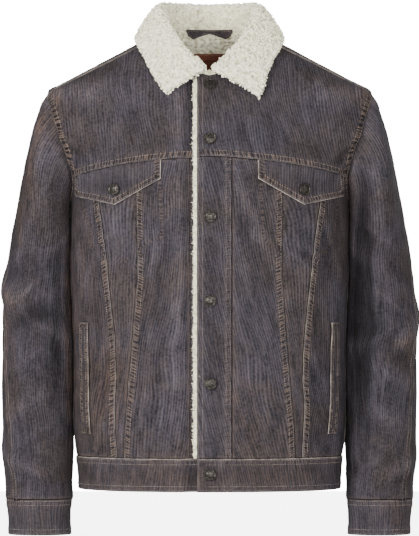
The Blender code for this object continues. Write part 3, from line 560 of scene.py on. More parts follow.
def seam_distance(points, line):
    """How far points are from a line of points, and how far along it the nearest place is."""
    best = np.full(len(points), 1e9)
    along = np.zeros(len(points))
    lengths = steps_of(line)
    starts = running_total(lengths)
    for k, (a, b) in enumerate(zip(line, line[1:])):
        step = b - a
        t = np.clip((points - a) @ step / max(step @ step, 1e-9), 0, 1)
        gap = np.linalg.norm(points - a - t[:, None] * step, axis=1)
        closer = gap < best
        best[closer] = gap[closer]
        along[closer] = starts[k] + t[closer] * lengths[k]
    return best, along


def thin(line, step=6.0):
    """Fewer points of a border line, about this far apart."""
    count = max(int(steps_of(line).sum() / step), 2)
    keep = np.unique(np.linspace(0, len(line) - 1, count).round().astype(int))
    return line[keep]


def border_seams(points, kinds):
    """Seams along a grid's own borders. Kinds name the bottom, top, left and right ones, each by
    one kind or, where it changes, by pairs of a share of the border's length and a kind."""
    found = []
    for side, kind in zip((points[0], points[-1], points[:, 0], points[:, -1]), kinds):
        way = running_total(steps_of(side))
        start = 0
        for until, name in kind if isinstance(kind, tuple) else ((1.0, kind),):
            stop = int(np.abs(way / way[-1] - until).argmin())
            if name and stop > start:
                found.append(Seam(thin(side[start:stop + 1]), name))
            start = stop
    return found


LAP_HEIGHT, LAP_WIDTH, LAP_FADE = 0.9, 10.5, 3.5
EDGE_ROLL, ROLL_WIDTH = 1.2, 1.6        # how far a folded edge turns down, and within what width
LINE_DEPTH, LINE_WIDTH = 0.5, 1.5       # the groove of a single row of stitches
UNDER_DIP, DIP_WIDTH = 0.7, 2.2
SEAM_SHIFT = 137.0                      # so that the puckers of two seams don't fall in step


def seam_facts(points, seams):
    """For each grid point: distance from the nearest topstitched seam, along it, and from the
    nearest seam that another piece laps over."""
    flat = points.reshape(-1, 3)
    facts = {key: np.full(len(flat), REACH) for key in ("stitched", "under")}
    facts |= {key: np.zeros(len(flat)) for key in ("along", "plain_line", "rungs", "worn_edge")}
    for number, seam in enumerate(seams):
        gap, way = seam_distance(flat, seam.line)
        if seam.kind == "under":
            facts["under"] = np.minimum(facts["under"], gap)
            continue
        kind = KINDS[seam.kind]
        here = {"along": way + SEAM_SHIFT * number, "plain_line": float(seam.kind == "line"),
                "rungs": kind.rungs, "worn_edge": kind.edge, "stitched": gap / kind.width}
        closer = here["stitched"] < facts["stitched"]
        facts |= {key: np.where(closer, value, facts[key]) for key, value in here.items()}
    return {key: values.reshape(points.shape[:2]) for key, values in facts.items()}


def seam_relief(facts):
    """Height of the cloth near its seams."""
    gap = facts["stitched"]
    lap = LAP_HEIGHT * (1 - smoothstep((gap - LAP_WIDTH) / LAP_FADE))
    lap = lap - EDGE_ROLL * np.clip(1 - gap / ROLL_WIDTH, 0, 1) ** 2
    groove = -LINE_DEPTH * np.exp(-(gap / LINE_WIDTH) ** 2)
    dip = -UNDER_DIP * np.exp(-facts["under"] / DIP_WIDTH)
    return np.where(facts["plain_line"] > 0.5, groove, lap) + dip


RIPPLES = 16


def ripple(points, height, shortest=20.0, longest=60.0):
    """The slight unevenness of washed cloth: waves of mixed lengths in all directions."""
    rng = np.random.default_rng(7)
    total = np.zeros(points.shape[:-1])
    for _ in range(RIPPLES):
        way = unit(rng.normal(size=3))
        pace = math.tau / rng.uniform(shortest, longest)
        total += np.sin(points @ way * pace + rng.uniform(0, 6.3))
    return height * total / math.sqrt(RIPPLES)


print("a seam is felt within", REACH, "mm; its band is", LAP_WIDTH, "mm wide")

# %% [markdown]
# ## A mesh from a grid
#
# The outer face becomes a mesh with its cut map as UVs, so that the wales of the cord run along
# the cloth and not through it. A Solidify modifier gives it its thickness and puts the lining's
# material on the inside.

# %% Cloth pieces
Sheet = namedtuple("Sheet", "piece node width length area")
made_cloth = []             # every sheet of cloth with its size in mm, for the end
CUT_UNIT = 100.0            # mm of flat cloth to one unit of the cut map

RUST_AND_SHADE_DEPTH = 60.0          # the rust and the painted shade end this far behind the middle of the body
RustAndShade = namedtuple("RustAndShade", "x z width length amount")
# Where the dye has gone rusty, in part a painted warm highlight along the sides and outer
# sleeves; negative amounts are painted shade beside the body, in fold hollows and on and below
# the yokes.
RUST_AND_SHADE_SPOTS = table(RustAndShade, """
    -206 -430 14 170 1.0 | -247 -130 9 50 0.9 | -262 -190 9 60 0.9
    -276 -260 8 60 0.8 | -150 -520 35 70 0.5 | -176 -340 14 60 0.5
    -120 -645 150 12 0.3 | -222 -115 10 50 0.6 | -292 -470 14 110 0.5
    -262 -700 40 20 0.4 | 204 -300 10 100 0.5 | 150 -645 120 10 0.3
    225 -105 10 50 0.5 | 292 -430 10 130 0.35 | 95 -206 60 9 0.1
    -110 -206 60 9 0.1 | 258 -705 36 16 0.3 | 40 -560 30 60 0.25
    223 -420 13 170 -1.0 | -218 -400 12 190 -0.45 | 196 -560 8 60 -0.4
    252 -340 50 300 -0.24 | -252 -360 44 300 -0.4 | 222 -360 12 150 -0.6
    -250 -415 26 14 -0.4 | -220 -480 14 50 -0.4 | 238 -435 26 26 -0.5
    262 -452 26 8 0.5 | -255 -385 30 9 0.3 | 110 -130 90 60 -0.24
    -110 -130 90 60 -0.24 | 134 -228 60 18 -0.34 | -134 -228 60 18 -0.45
""")


def rust_and_painted_shade(points):
    """How rusty the dye is on the side that faces forwards, in part a painted highlight; below 0
    it is painted shade.
    """
    x, y, z = np.moveaxis(points, -1, 0)
    total = np.zeros(x.shape)
    for spot in RUST_AND_SHADE_SPOTS:
        off = ((x - spot.x) / spot.width) ** 2 + ((z - spot.z) / spot.length) ** 2
        total += spot.amount * np.exp(-off)
    return np.clip(total, -1, 1) * smoothstep((RUST_AND_SHADE_DEPTH - y) / RUST_AND_SHADE_DEPTH)


RIDGE_REACH = 7             # grid steps to each side
RIDGE_LIMIT = 4.0


def ridge_height(points, normals):
    """How far each point of a grid stands out from the cloth around it, in mm."""
    reach = min(RIDGE_REACH, min(points.shape[:2]) - 1)
    border = ((reach, reach), (reach, reach), (0, 0))
    smooth = np.pad(points, border, mode="reflect", reflect_type="odd")
    for axis in (0, 1):
        total = running_total(smooth, axis)
        count = total.shape[axis]
        ahead = np.take(total, np.arange(2 * reach + 1, count), axis)
        behind = np.take(total, np.arange(0, count - 2 * reach - 1), axis)
        smooth = (ahead - behind) / (2 * reach + 1)
    height = np.sum((points - smooth) * normals, axis=-1)
    return np.clip(height - np.median(height), -RIDGE_LIMIT, RIDGE_LIMIT)


def quads(index):
    """Faces between the neighbours in a grid of vertex numbers."""
    corners = (index[:-1, :-1], index[:-1, 1:], index[1:, 1:], index[1:, :-1])
    return np.stack(corners, -1).reshape(-1, 4)


def new_mesh(name, points, faces):
    """A smooth mesh of points in mm."""
    mesh = bpy.data.meshes.new(name)
    mesh.from_pydata((points * MM).tolist(), [], faces.tolist())
    mesh.shade_smooth()
    return mesh


def grid_mesh(name, points, cut, facts, normals):
    """A mesh from a grid of points in mm, with faces towards the normals.

    Beside a hollow border the grid can fold back on itself, and those faces are left out."""
    faces = quads(np.arange(points[..., 0].size).reshape(points.shape[:2]))
    flat = points.reshape(-1, 3)
    a, b, c, d = (flat[faces[:, k]] for k in range(4))
    facing = np.sum(np.cross(c - a, d - b) * normals.reshape(-1, 3)[faces[:, 0]], axis=1)
    turned = np.sign(facing.sum())
    faces = faces[facing * turned >= 0]
    if turned < 0:
        faces = faces[:, ::-1]
    mesh = new_mesh(name, flat, faces)
    layer = mesh.uv_layers.new(name="cut")
    layer.data.foreach_set("uv", (cut.reshape(-1, 2)[faces.reshape(-1)] / CUT_UNIT).ravel())
    for key, values in facts.items():
        attribute = mesh.attributes.new(key, "FLOAT", "POINT")
        attribute.data.foreach_set("value", values.ravel().astype(np.float32))
    return new_object(name, mesh)


def area_of(points):
    """Area of a grid, in square mm."""
    a = points[1:, :-1] - points[:-1, :-1]
    b = points[:-1, 1:] - points[:-1, :-1]
    return float(np.linalg.norm(np.cross(a, b), axis=-1).sum())


def keep_sheet(piece, node, points):
    """Notes how large a sheet is when it lies flat, from its grid."""
    width, length = steps_of(points, 1).sum(1).max(), steps_of(points, 0).sum(0).max()
    made_cloth.append(Sheet(piece, node, width, length, area_of(points)))


STITCH_ROWS = (2.3, 8.3)    # mm from the folded edge of a lap to its two rows of stitches
THREAD_LIFT = 0.15
stitch_lines = []           # short straight parts of every row, for the thread later on


def stitch_row(facts, points, level):
    """Short straight parts of the line on a grid at one distance from the stitched seams."""
    above = facts["stitched"] > level
    corner_count = above[:-1, :-1].astype(int) + above[:-1, 1:] + above[1:, :-1] + above[1:, 1:]
    found = []
    mixed = (corner_count > 0) & (corner_count < 4) & (facts["rungs"][:-1, :-1] > 0)
    for i, j in np.argwhere(mixed):
        corners = ((i, j), (i, j + 1), (i + 1, j + 1), (i + 1, j))
        crossed = []
        for a, b in zip(corners, corners[1:] + corners[:1]):
            if above[a] != above[b]:
                t = (level - facts["stitched"][a]) / (facts["stitched"][b] - facts["stitched"][a])
                crossed.append(points[a] * (1 - t) + points[b] * t)
        if len(crossed) == 2:
            found.append(crossed)
    return found


ALLOWANCE, ALLOWANCE_DEPTH = 4.5, 2.0   # how far a seam's hidden edge reaches on, and how deep


def with_allowances(points, cut, facts, normals):
    """Lengthens a grid past every border that goes under another piece, as a sewn seam does."""
    for axis in (0, 1):
        for end in (0, -1):
            hidden = np.take(facts["under"], end, axis) < 0.5
            if hidden.mean() < 0.2:
                continue
            edge, before = (np.take(points, k, axis) for k in (end, 1 if end == 0 else -2))
            onward = ALLOWANCE * unit(edge - before) - ALLOWANCE_DEPTH * np.take(normals, end, axis)
            row = edge + np.where(hidden, 1.0, 0.02)[:, None] * onward

            def longer(values, new=None):
                new = np.take(values, end, axis) if new is None else new
                parts = [np.expand_dims(new, axis), values]
                return np.concatenate(parts if end == 0 else parts[::-1], axis)

            points, cut, normals = longer(points, row), longer(cut), longer(normals)
            facts = {key: longer(values) for key, values in facts.items()}
    return points, cut, facts, normals


def cloth(node, points, normals, kinds, thickness, outside, inside, cut=None, wavy=0.32, extra=()):
    """Makes the cloth that stands for one CAD node, with the relief of its border seams, whose
    kinds are named, and of extra ones."""
    facts = seam_facts(points, [*border_seams(points, kinds), *extra])
    cut = cut_map(points) if cut is None else cut
    lift = seam_relief(facts) + ripple(points, wavy)
    shaped = points + lift[..., None] * normals
    # faded: rust, in part a painted highlight, and below 0 painted shade
    facts["faded"] = rust_and_painted_shade(points)
    # ridge: fold height, which paints fold shade and highlight into the cord's colour
    facts["ridge"] = ridge_height(shaped, normals)
    for level in STITCH_ROWS:
        stitch_lines.extend(stitch_row(facts, shaped + THREAD_LIFT * normals, level))
    piece = grid_mesh(node + "_cloth", *with_allowances(shaped, cut, facts, normals))
    piece.data.materials.append(outside)
    piece.data.materials.append(inside)
    wall = piece.modifiers.new("thickness", "SOLIDIFY")
    wall.thickness = thickness * MM
    wall.offset = -1
    wall.material_offset = 1
    wall.material_offset_rim = 0
    keep_sheet(piece, node, points)


print("cloth pieces are made on a", GRID_STEP, "mm grid")

# %% [markdown]
# ## The finishes
#
# Three effects are used by two materials each, so they are node groups with named inputs: the
# wales of the cord with their streaks, painted sheen and painted shade, the puckers, wear and
# painted shadow of a stitched seam, and the crumbs of curly pile. A small helper places a node
# and fills its inputs. A node's output can be
# added and multiplied like a number, so that a tree reads like a formula.

# %% Node helpers
class Value:
    """A node's output. Sums and products of values become Math nodes."""

    def __init__(self, tree, socket):
        self.tree, self.socket = tree, socket

    def maths(self, operation, other=0.0, turned=False, clamp=False):
        a, b = (other, self) if turned else (self, other)
        return place(self.tree, "ShaderNodeMath", {0: a, 1: b}, operation=operation,
                     use_clamp=clamp)[0]

    def __add__(self, other):
        return self.maths("ADD", other)

    def __mul__(self, other):
        return self.maths("MULTIPLY", other)

    def __sub__(self, other):
        return self.maths("SUBTRACT", other)

    def __rsub__(self, other):
        return self.maths("SUBTRACT", other, turned=True)

    def __truediv__(self, other):
        return self.maths("DIVIDE", other)

    def ramp(self, low, high, to_low=0.0, to_high=1.0, kind="SMOOTHSTEP"):
        """Maps low..high to to_low..to_high."""
        inputs = {0: self, 1: low, 2: high, 3: to_low, 4: to_high}
        return place(self.tree, "ShaderNodeMapRange", inputs, interpolation_type=kind)[0]

    def mix(self, a, b):
        """Colour a where this value is 0, and colour b where it is 1."""
        return place(self.tree, "ShaderNodeMix", {0: self, 6: a, 7: b}, data_type="RGBA")[2]


class Placed:
    """A node in its tree, whose outputs are taken by number or name."""

    def __init__(self, tree, node):
        self.tree, self.node = tree, node

    def __getitem__(self, key):
        return Value(self.tree, self.node.outputs[key])


def fill(tree, node, inputs):
    """Sets a node's inputs to constants, or links values to them."""
    for key, value in dict(inputs).items():
        if isinstance(value, Value):
            tree.links.new(value.socket, node.inputs[key])
        else:
            node.inputs[key].default_value = value


def place(tree, kind, inputs=(), **settings):
    """A new node with its settings and inputs."""
    node = tree.nodes.new(kind)
    for key, value in settings.items():
        setattr(node, key, value)
    fill(tree, node, inputs)
    return Placed(tree, node)


def noise(tree, spot, scale, detail, **settings):
    inputs = {"Vector": spot, "Scale": scale, "Detail": detail}
    return place(tree, "ShaderNodeTexNoise", inputs, **settings)[0]


FLOAT, VECTOR, COLOUR = "NodeSocketFloat", "NodeSocketVector", "NodeSocketColor"


def shader_group(name, vectors, colours, numbers, build):
    """A shader group with named inputs. build(tree, given) returns its colour and its height."""
    tree = bpy.data.node_groups.new(name, "ShaderNodeTree")
    for kind, labels in ((VECTOR, vectors), (COLOUR, colours), (FLOAT, numbers)):
        for label in labels:
            socket = tree.interface.new_socket(label, in_out="INPUT", socket_type=kind)
            if kind == FLOAT:
                socket.default_value = numbers[label]
    for label, kind in (("Color", COLOUR), ("Height", FLOAT)):
        tree.interface.new_socket(label, in_out="OUTPUT", socket_type=kind)
    colour, height = build(tree, Placed(tree, tree.nodes.new("NodeGroupInput")))
    fill(tree, tree.nodes.new("NodeGroupOutput"), {"Color": colour, "Height": height})
    print(name + ":", len(tree.nodes), "nodes")
    return tree


# %% [markdown]
# The cord has a wale about every 4 mm, and washing has worn the wales unevenly, which leaves
# long thin streaks: the crests show the blue-grey of the dye, the valleys the dark brown under
# it. Each streak is a noise that is stretched along the wales. The wales also wander a little,
# because the cloth is never cut or washed quite straight. Paler streaks along the wales are
# painted sheen. Painted shade darkens the hollows of folds and the cloth beside the body, and a
# painted highlight lightens the ridges of folds.

# %% The cord's wales and streaks
RUST_AND_WARM_HIGHLIGHT = (0.082, 0.052, 0.040, 1)
# Three noises bend the wales: each one's width, length and amount in mm.
WALE_DRIFT = ((80.0, 190.0, 26.0), (22.0, 60.0, 4.0), (5.0, 18.0, 0.9))
# Width and length in mm of fine and broad streaks of tone, and of painted sheen streaks.
FINE_STREAK, BROAD_STREAK, SHEEN_STREAK = (3.4, 26.0), (16.0, 90.0), (7.5, 230.0)
MEAN_CREST = 0.36


def build_wales(tree, given):
    cut = place(tree, "ShaderNodeSeparateXYZ", {0: given["Cut"]})
    across, along = cut[0] * CUT_UNIT, cut[1] * CUT_UNIT

    def stretched(x, width, length, detail):
        """Noise on the flat cloth whose spots have this width and length in mm."""
        spot = place(tree, "ShaderNodeCombineXYZ", {0: x / width, 1: along / length})[0]
        return noise(tree, spot, 1.0, detail, noise_dimensions="2D")

    drift = across
    for width, length, amount in WALE_DRIFT:
        drift = stretched(across, width, length, 1.0) * amount + drift
    wale = (drift / given["Pitch"] * math.tau).maths("SINE") * 0.5 + 0.5
    crest = wale * stretched(across, 24.0, 60.0, 2.0).ramp(0.38, 0.62, 0.45, 1.0)

    fine, broad = (stretched(drift, *size, 2.0).ramp(0.36, 0.64) - 0.5
                   for size in (FINE_STREAK, BROAD_STREAK))
    grain = noise(tree, given["Place"], 290.0, 2.0).ramp(0.36, 0.64) - 0.5
    cloud = noise(tree, given["Place"], 13.0, 3.0).ramp(0.36, 0.64)
    # worn here holds painted sheen: pale streaks along the wales.
    worn = stretched(drift, *SHEEN_STREAK, 1.0).ramp(0.52, 0.70) * cloud.ramp(0.75, 0.3)
    rusty = cloud * 0.6 + fine * 0.3 + given["Ridge"] * 0.06 + given["RustAndShade"] * 0.5
    rusty = rusty.maths("ADD", (0.5 - crest) * 0.3, clamp=True)
    # Rust colour where the spots are positive, in part a painted warm highlight along the sides.
    rust_and_highlight = given["RustAndShade"].maths("MULTIPLY", fine + broad + 0.55, clamp=True)
    colour = (rust_and_highlight * 0.6).mix(rusty.mix(given["Blue"], given["Brown"]), RUST_AND_WARM_HIGHLIGHT)
    light = (crest - MEAN_CREST) * 0.66 + fine * 0.34 + broad * 0.12 + grain * 0.45 + worn * 0.32
    # Painted shade and highlight: below 0 the spots darken the cloth, and the ridge height darkens
    # fold hollows and lightens fold ridges.
    painted_shade_and_highlight = given["RustAndShade"].ramp(-1.0, 0.0, 0.3, 1.0)
    painted_shade_and_highlight = painted_shade_and_highlight * given["Ridge"].ramp(-RIDGE_LIMIT, RIDGE_LIMIT, 0.35, 1.65, "LINEAR")
    light = (light * given["Streaks"] + 1.0) * painted_shade_and_highlight
    shaded = place(tree, "ShaderNodeVectorMath", {0: colour, "Scale": light}, operation="SCALE")[0]
    return shaded, stretched(across, 0.5, 1.6, 1.0) * 0.25 + wale


wales_group = shader_group("cord wales", ("Cut", "Place"), ("Blue", "Brown"),
                           {"Pitch": 3.9, "Streaks": 1.0, "RustAndShade": 0.0, "Ridge": 0.0}, build_wales)

# %% [markdown]
# Along a topstitched seam the thread draws the folded cloth up, so that small rungs stand
# between the stitches, 4 to 6 mm apart and never quite even. Their tops are worn pale, and dark
# dye stays in between. The folded edge itself is worn the most, and a thin painted shadow lies
# beside it, where the next piece goes under.

# %% Puckers, wear and painted shadow along a seam
# The second colour is a painted shadow beside a seam where the next piece goes under.
DYED_DARK, PAINTED_SEAM_SHADOW = (0.007, 0.006, 0.007, 1), (0.003, 0.0025, 0.003, 1)
RUNG_PITCH = 4.4            # mm
SEAM_NUMBERS = {"Stitched": REACH, "Along": 0.0, "Under": REACH, "Plain line": 0.0, "Rungs": 1.0,
                "Worn edge": 0.5}


def build_seams(tree, given):
    gap, away, plain = given["Stitched"], given["Under"], given["Plain line"]
    way = noise(tree, given["Place"], 170.0, 1.0) * 3.6 + given["Along"] + gap * 0.35
    inputs = {"W": way / RUNG_PITCH, "Scale": 1.0, "Randomness": 0.75}
    cells = place(tree, "ShaderNodeTexVoronoi", inputs, voronoi_dimensions="1D")
    rung = cells["Distance"].ramp(0.05, 0.42, 1.0, 0.0)
    patchy = noise(tree, given["Place"], 75.0, 3.0).ramp(0.34, 0.66)

    inside = gap.ramp(1.0, 2.4) * gap.ramp(8.6, 11.0, 1.0, 0.0) * given["Rungs"]
    inside = inside + gap.ramp(0.4, 4.2, 1.0, 0.0) * (plain * 0.55)
    rungs = rung * inside.maths("MAXIMUM", away.ramp(0.0, 7.0, 1.0, 0.0) * 0.45)
    near_rows = [(gap - row).maths("ABSOLUTE").ramp(0.0, 1.0, 1.0, 0.0) for row in (2.3, 8.2)]
    grooves = (near_rows[0] + near_rows[1]) * given["Rungs"]

    dyed = (inside * (1.0 - rung) * 0.7).mix(given["Cloth"], DYED_DARK)
    worn = (rungs * (patchy * 0.7 + 0.25)).mix(dyed, given["Worn"])
    fold = gap.ramp(0.4, 1.4, 1.0, 0.0) * (1.0 - plain)
    worn = (fold * (patchy * 0.7 + 0.3) * given["Worn edge"]).mix(worn, given["Edge"])
    # Painted shadow beside a seam where the next piece goes under.
    seam_shadow = (away.ramp(0.2, 2.0, 1.0, 0.0) * 0.9).mix(worn, PAINTED_SEAM_SHADOW)
    return seam_shadow, rungs - grooves * 0.45


seams_group = shader_group("seam wear and shadow", ("Place",), ("Cloth", "Worn", "Edge"), SEAM_NUMBERS,
                           build_seams)

# %% [markdown]
# Sherpa pile is a knit whose loops have curled into crumbs 2 to 4 mm across. Between them it is
# darker and warmer, because little light gets there. Smooth cells give the crumbs, and a fine
# noise gives the fibres.

# %% The pile's crumbs
CRUMB_BEND = (0.005,) * 3   # metres


def build_crumbs(tree, given):
    bent = place(tree, "ShaderNodeTexNoise",
                 {"Vector": given["Place"], "Scale": 210.0, "Detail": 1.0})["Color"]
    spot = place(tree, "ShaderNodeVectorMath", {0: bent, 1: CRUMB_BEND, 2: given["Place"]},
                 operation="MULTIPLY_ADD")[0]
    per_metre = given["Size"].maths("DIVIDE", 1 / MM, turned=True)
    cells = place(tree, "ShaderNodeTexVoronoi", {"Vector": spot, "Scale": per_metre},
                  feature="SMOOTH_F1")
    top = cells["Distance"].ramp(0.25, 0.68, 1.0, 0.0)
    colour = top.maths("POWER", 0.6).mix(given["Deep"], given["Light"])
    return colour, noise(tree, spot, 1500.0, 2.0) * 0.3 + top


crumbs_group = shader_group("pile crumbs", ("Place",), ("Light", "Deep"), {"Size": 3.0},
                            build_crumbs)


# %% Cord, pile, leather, metal and thread
def new_material(name, build):
    """A Principled material. build(tree, spot) returns the shader's inputs by their names."""
    made = bpy.data.materials.new(name)
    made.use_nodes = True
    tree = made.node_tree
    spot = place(tree, "ShaderNodeTexCoord")["Object"]
    fill(tree, tree.nodes["Principled BSDF"], build(tree, spot))
    return made


def attribute(tree, name):
    return place(tree, "ShaderNodeAttribute", attribute_name=name)["Fac"]


def bump(tree, height, distance_mm, **under):
    inputs = {"Height": height, "Distance": distance_mm * MM, **under}
    return place(tree, "ShaderNodeBump", inputs)[0]


BLUE_GREY, TRIM_BLUE = (0.0355, 0.0310, 0.0375, 1), (0.039, 0.034, 0.040, 1)
RUSTY_BROWN, TRIM_BROWN = (0.0385, 0.0295, 0.0270, 1), (0.044, 0.0338, 0.0325, 1)
WORN_CORD, WORN_EDGE = (0.120, 0.087, 0.070, 1), (0.46, 0.40, 0.34, 1)
CREAM, DEEP_CREAM = (0.98, 0.94, 0.72, 1), (0.52, 0.47, 0.30, 1)
LINING_CREAM, DEEP_LINING = (0.95, 0.92, 0.76, 1), (0.60, 0.56, 0.42, 1)
TUFT_CREAM, DARK_TUFT = (1.0, 0.97, 0.70, 1), (0.80, 0.77, 0.56, 1)
LEATHER, DARK_LEATHER = (0.22, 0.056, 0.028, 1), (0.14, 0.032, 0.017, 1)
BRASS, DARK_BRASS = (0.048, 0.043, 0.036, 1), (0.015, 0.013, 0.012, 1)
THREAD, DARK_THREAD = (0.26, 0.21, 0.18, 1), (0.075, 0.060, 0.056, 1)


def cord_material(name, blue=BLUE_GREY, brown=RUSTY_BROWN, streaks=1.0):
    def build(tree, spot):
        cord = place(tree, "ShaderNodeGroup", node_tree=wales_group)
        # faded and ridge feed the painted shade and highlight of the wales group.
        fill(tree, cord.node, {
            "Cut": place(tree, "ShaderNodeUVMap", uv_map="cut")[0], "Place": spot, "Blue": blue,
            "Brown": brown, "Streaks": streaks, "RustAndShade": attribute(tree, "faded"),
            "Ridge": attribute(tree, "ridge")})
        # Seam wear, and a painted shadow beside seams that go under another piece.
        worn = place(tree, "ShaderNodeGroup", node_tree=seams_group)
        measured = {label: attribute(tree, label.lower().replace(" ", "_"))
                    for label in SEAM_NUMBERS}
        fill(tree, worn.node, {"Cloth": cord["Color"], "Worn": WORN_CORD, "Edge": WORN_EDGE,
                               "Place": spot, **measured})
        wale_normal = bump(tree, cord["Height"], 0.5)
        return {"Base Color": worn["Color"], "Roughness": 0.9, "Specular IOR Level": 0.12,
                "Normal": bump(tree, worn["Height"], 0.8, Normal=wale_normal)}

    return new_material(name, build)


def pile_material(name, light, deep, size, depth=2.0):
    def build(tree, spot):
        curled = place(tree, "ShaderNodeGroup", node_tree=crumbs_group)
        fill(tree, curled.node, {"Place": spot, "Size": size, "Light": light, "Deep": deep})
        return {"Base Color": curled["Color"], "Roughness": 0.95, "Sheen Weight": 0.25,
                "Sheen Roughness": 0.6, "Normal": bump(tree, curled["Height"], depth)}

    return new_material(name, build)


def tuft_inputs(tree, spot):
    clump = noise(tree, spot, 160.0, 2.0).ramp(0.36, 0.6)
    return {"Base Color": clump.mix(DARK_TUFT, TUFT_CREAM), "Roughness": 0.95, "Sheen Weight": 0.3,
            "Sheen Roughness": 0.6}


def leather_inputs(tree, spot):
    grain = place(tree, "ShaderNodeTexVoronoi", {"Vector": spot, "Scale": 900.0},
                  feature="DISTANCE_TO_EDGE")
    blotch = noise(tree, spot, 70.0, 4.0).ramp(0.35, 0.65)
    return {"Base Color": blotch.mix(DARK_LEATHER, LEATHER), "Roughness": 0.5, "Coat Weight": 0.08,
            "Coat Roughness": 0.4, "Normal": bump(tree, grain[0].ramp(0.0, 0.25), 0.25)}


def metal_inputs(tree, spot):
    dents = noise(tree, spot, 420.0, 3.0)
    tarnish = dents.ramp(0.38, 0.62)
    return {"Base Color": tarnish.mix(DARK_BRASS, BRASS), "Metallic": 0.85,
            "Roughness": tarnish.ramp(0.0, 1.0, 0.6, 0.38), "Normal": bump(tree, dents, 0.3)}


def thread_inputs(tree, spot):
    faded = noise(tree, spot, 80.0, 2.0).ramp(0.35, 0.65)
    return {"Base Color": faded.mix(DARK_THREAD, THREAD), "Roughness": 0.7}


cord = cord_material("worn_cord")
trim_cord = cord_material("trim_cord", TRIM_BLUE, TRIM_BROWN, streaks=0.8)
pile = pile_material("sherpa_pile", CREAM, DEEP_CREAM, 4.6)
lining = pile_material("sherpa_lining", LINING_CREAM, DEEP_LINING, 4.0)
tuft_cream = new_material("pile_tufts", tuft_inputs)
leather = new_material("patch_leather", leather_inputs)
metal = new_material("button_metal", metal_inputs)
thread = new_material("thread", thread_inputs)
print("materials:", len(bpy.data.materials))

# %% [markdown]
# ## The panels of the body
#
# A cord jacket of this kind is cut as a front yoke, a button strip and three long panels to each
# side, with a back yoke that comes forward over the shoulders. Each call names the four seam
# lines of a panel and what its seams do there: it laps over its neighbour, goes under it, or
# ends in a folded edge. The right front passes behind the left one, so its first part lies
# deeper.

# %% Front yokes
BODY_CLOTH = 3.0
YOKE_LIFT = 1.2             # the yoke's lower edge laps over the panels below
YOKE_LIFT_REACH = 30.0
OVERLAP_DEPTH = 6.7         # how far the right front lies behind the left one's face
OVERLAP_END, OVERLAP_FADE = 25.0, 20.0
NECK_RISE = 5.0             # how far the fronts reach up between the ends of the collar
WALE_SLANT = {1: 0.2, -1: 0.08}     # the cord was cut a little off the straight
SIDES = ((1, "left"), (-1, "right"))


def overlap(side, grid):
    """How far a front steps back from the form: the right one's edge passes behind the left."""
    if side > 0:
        return np.zeros(grid.shape[:-1])
    x = plain_body(grid[..., 0], grid[..., 1])[..., 0]
    return -OVERLAP_DEPTH * (1 - smoothstep((x - OVERLAP_END) / OVERLAP_FADE))


def panel(name, side, lines, kinds, material=cord, thickness=BODY_CLOTH, lift=None, extra=(),
          straight=False):
    """One panel of the body between its bottom, top, left and right seam lines."""
    grid = patch(*lines)
    out = overlap(side, grid) + (lift(grid) if lift else 0.0)
    points, normals = body(side * grid[..., 0], grid[..., 1], out)
    cut = cut_map(points, straight, WALE_SLANT[side])
    cloth(name, points, normals, kinds, thickness, material, lining, cut, extra=extra)


def yoke_lift(side):
    def out(grid):
        above = grid[..., 1] - yoke_height(np.abs(grid[..., 0]))
        lift = YOKE_LIFT * (1 - smoothstep(above / YOKE_LIFT_REACH))
        lift = lift * smoothstep((1 - np.linspace(0, 1, grid.shape[1])) * 4)
        if side < 0:
            lift = lift * smoothstep((grid[..., 0] - 6) / 6)
        return lift

    return out


def front_yoke(side, word):
    low = front_lines(side)[0](1.0)
    neck_end = FRONT_NECK_Z + NECK_RISE
    arm_start = armhole(TURN_YOKE)

    def bottom(s):
        plain = yoke_line(low[0], arm_start[0])
        return plain(s) + (arm_start - plain(1.0)) * s[:, None] ** 8

    def left(s):
        z = low[1] + (neck_end - low[1]) * s
        return pairs(angle_at(FRONT_EDGE, z), z)

    first_angle = left(1.0)[0]

    def neck(s):
        angle = first_angle + (NECK_SIDE_ANGLE - first_angle) * s
        rise = NECK_RISE * (1 - smoothstep((np.abs(angle) - 3) / 9))
        return pairs(angle, neck_height(np.abs(angle)) + rise)

    top = (neck, reverse(shoulder_line))
    at_neck = joints_of(*top)[0]
    panel("front_yoke_" + word, side,
          (bottom, chain(*top), left, arm_line(TURN_YOKE, TURN_SHOULDER)),
          ("lap", ((at_neck, None), (1.0, "under")), "edge", "armhole"),
          lift=yoke_lift(side), straight=True)


for side, word in SIDES:
    front_yoke(side, word)
print("front yokes:", [round(sheet.area / 100) for sheet in made_cloth], "square cm each")

# %% [markdown]
# Below the yoke, the chest pocket's bag is stitched through the panels. Its outline shows as a
# single puckered line, so it's a list of places that the stitching passes.

# %% Lower fronts
BagPoint = namedtuple("BagPoint", "x z")
BAG_STITCHING = {
    1: table(BagPoint, """
        73.9 -226 | 74 -245 | 76 -268.3 | 77.4 -303 | 91.5 -315.5 | 130.2 -340 | 144.1 -331.3
        172.4 -319 | 181.1 -294.4 | 184.7 -271.2 | 186.2 -247
    """),
    -1: table(BagPoint, """
        71.5 -224 | 69.7 -259.6 | 68 -300.2 | 87.9 -306.7 | 105.3 -321.9 | 123.4 -335.7
        156 -321.9 | 172 -313.2 | 173.4 -288.6 | 178.6 -268.3 | 185 -248
    """),
}
SIDE_SEAM_TOP = ARMHOLE_MIDDLE - ARMHOLE_HALF_HEIGHT
side_line = upright_line(90.0, WAIST_SEAM, SIDE_SEAM_TOP)
back_side_line = upright_line(270.0, WAIST_SEAM, SIDE_SEAM_TOP)


def bag_seam(side):
    knots = np.array(BAG_STITCHING[side], float)
    way = running_total(steps_of(knots))
    fine = np.linspace(0, way[-1], 60)
    x, z = (np.interp(fine, way, knots[:, k]) for k in (0, 1))
    return Seam(on_front(x, z, 0.0, side)[0], "line")


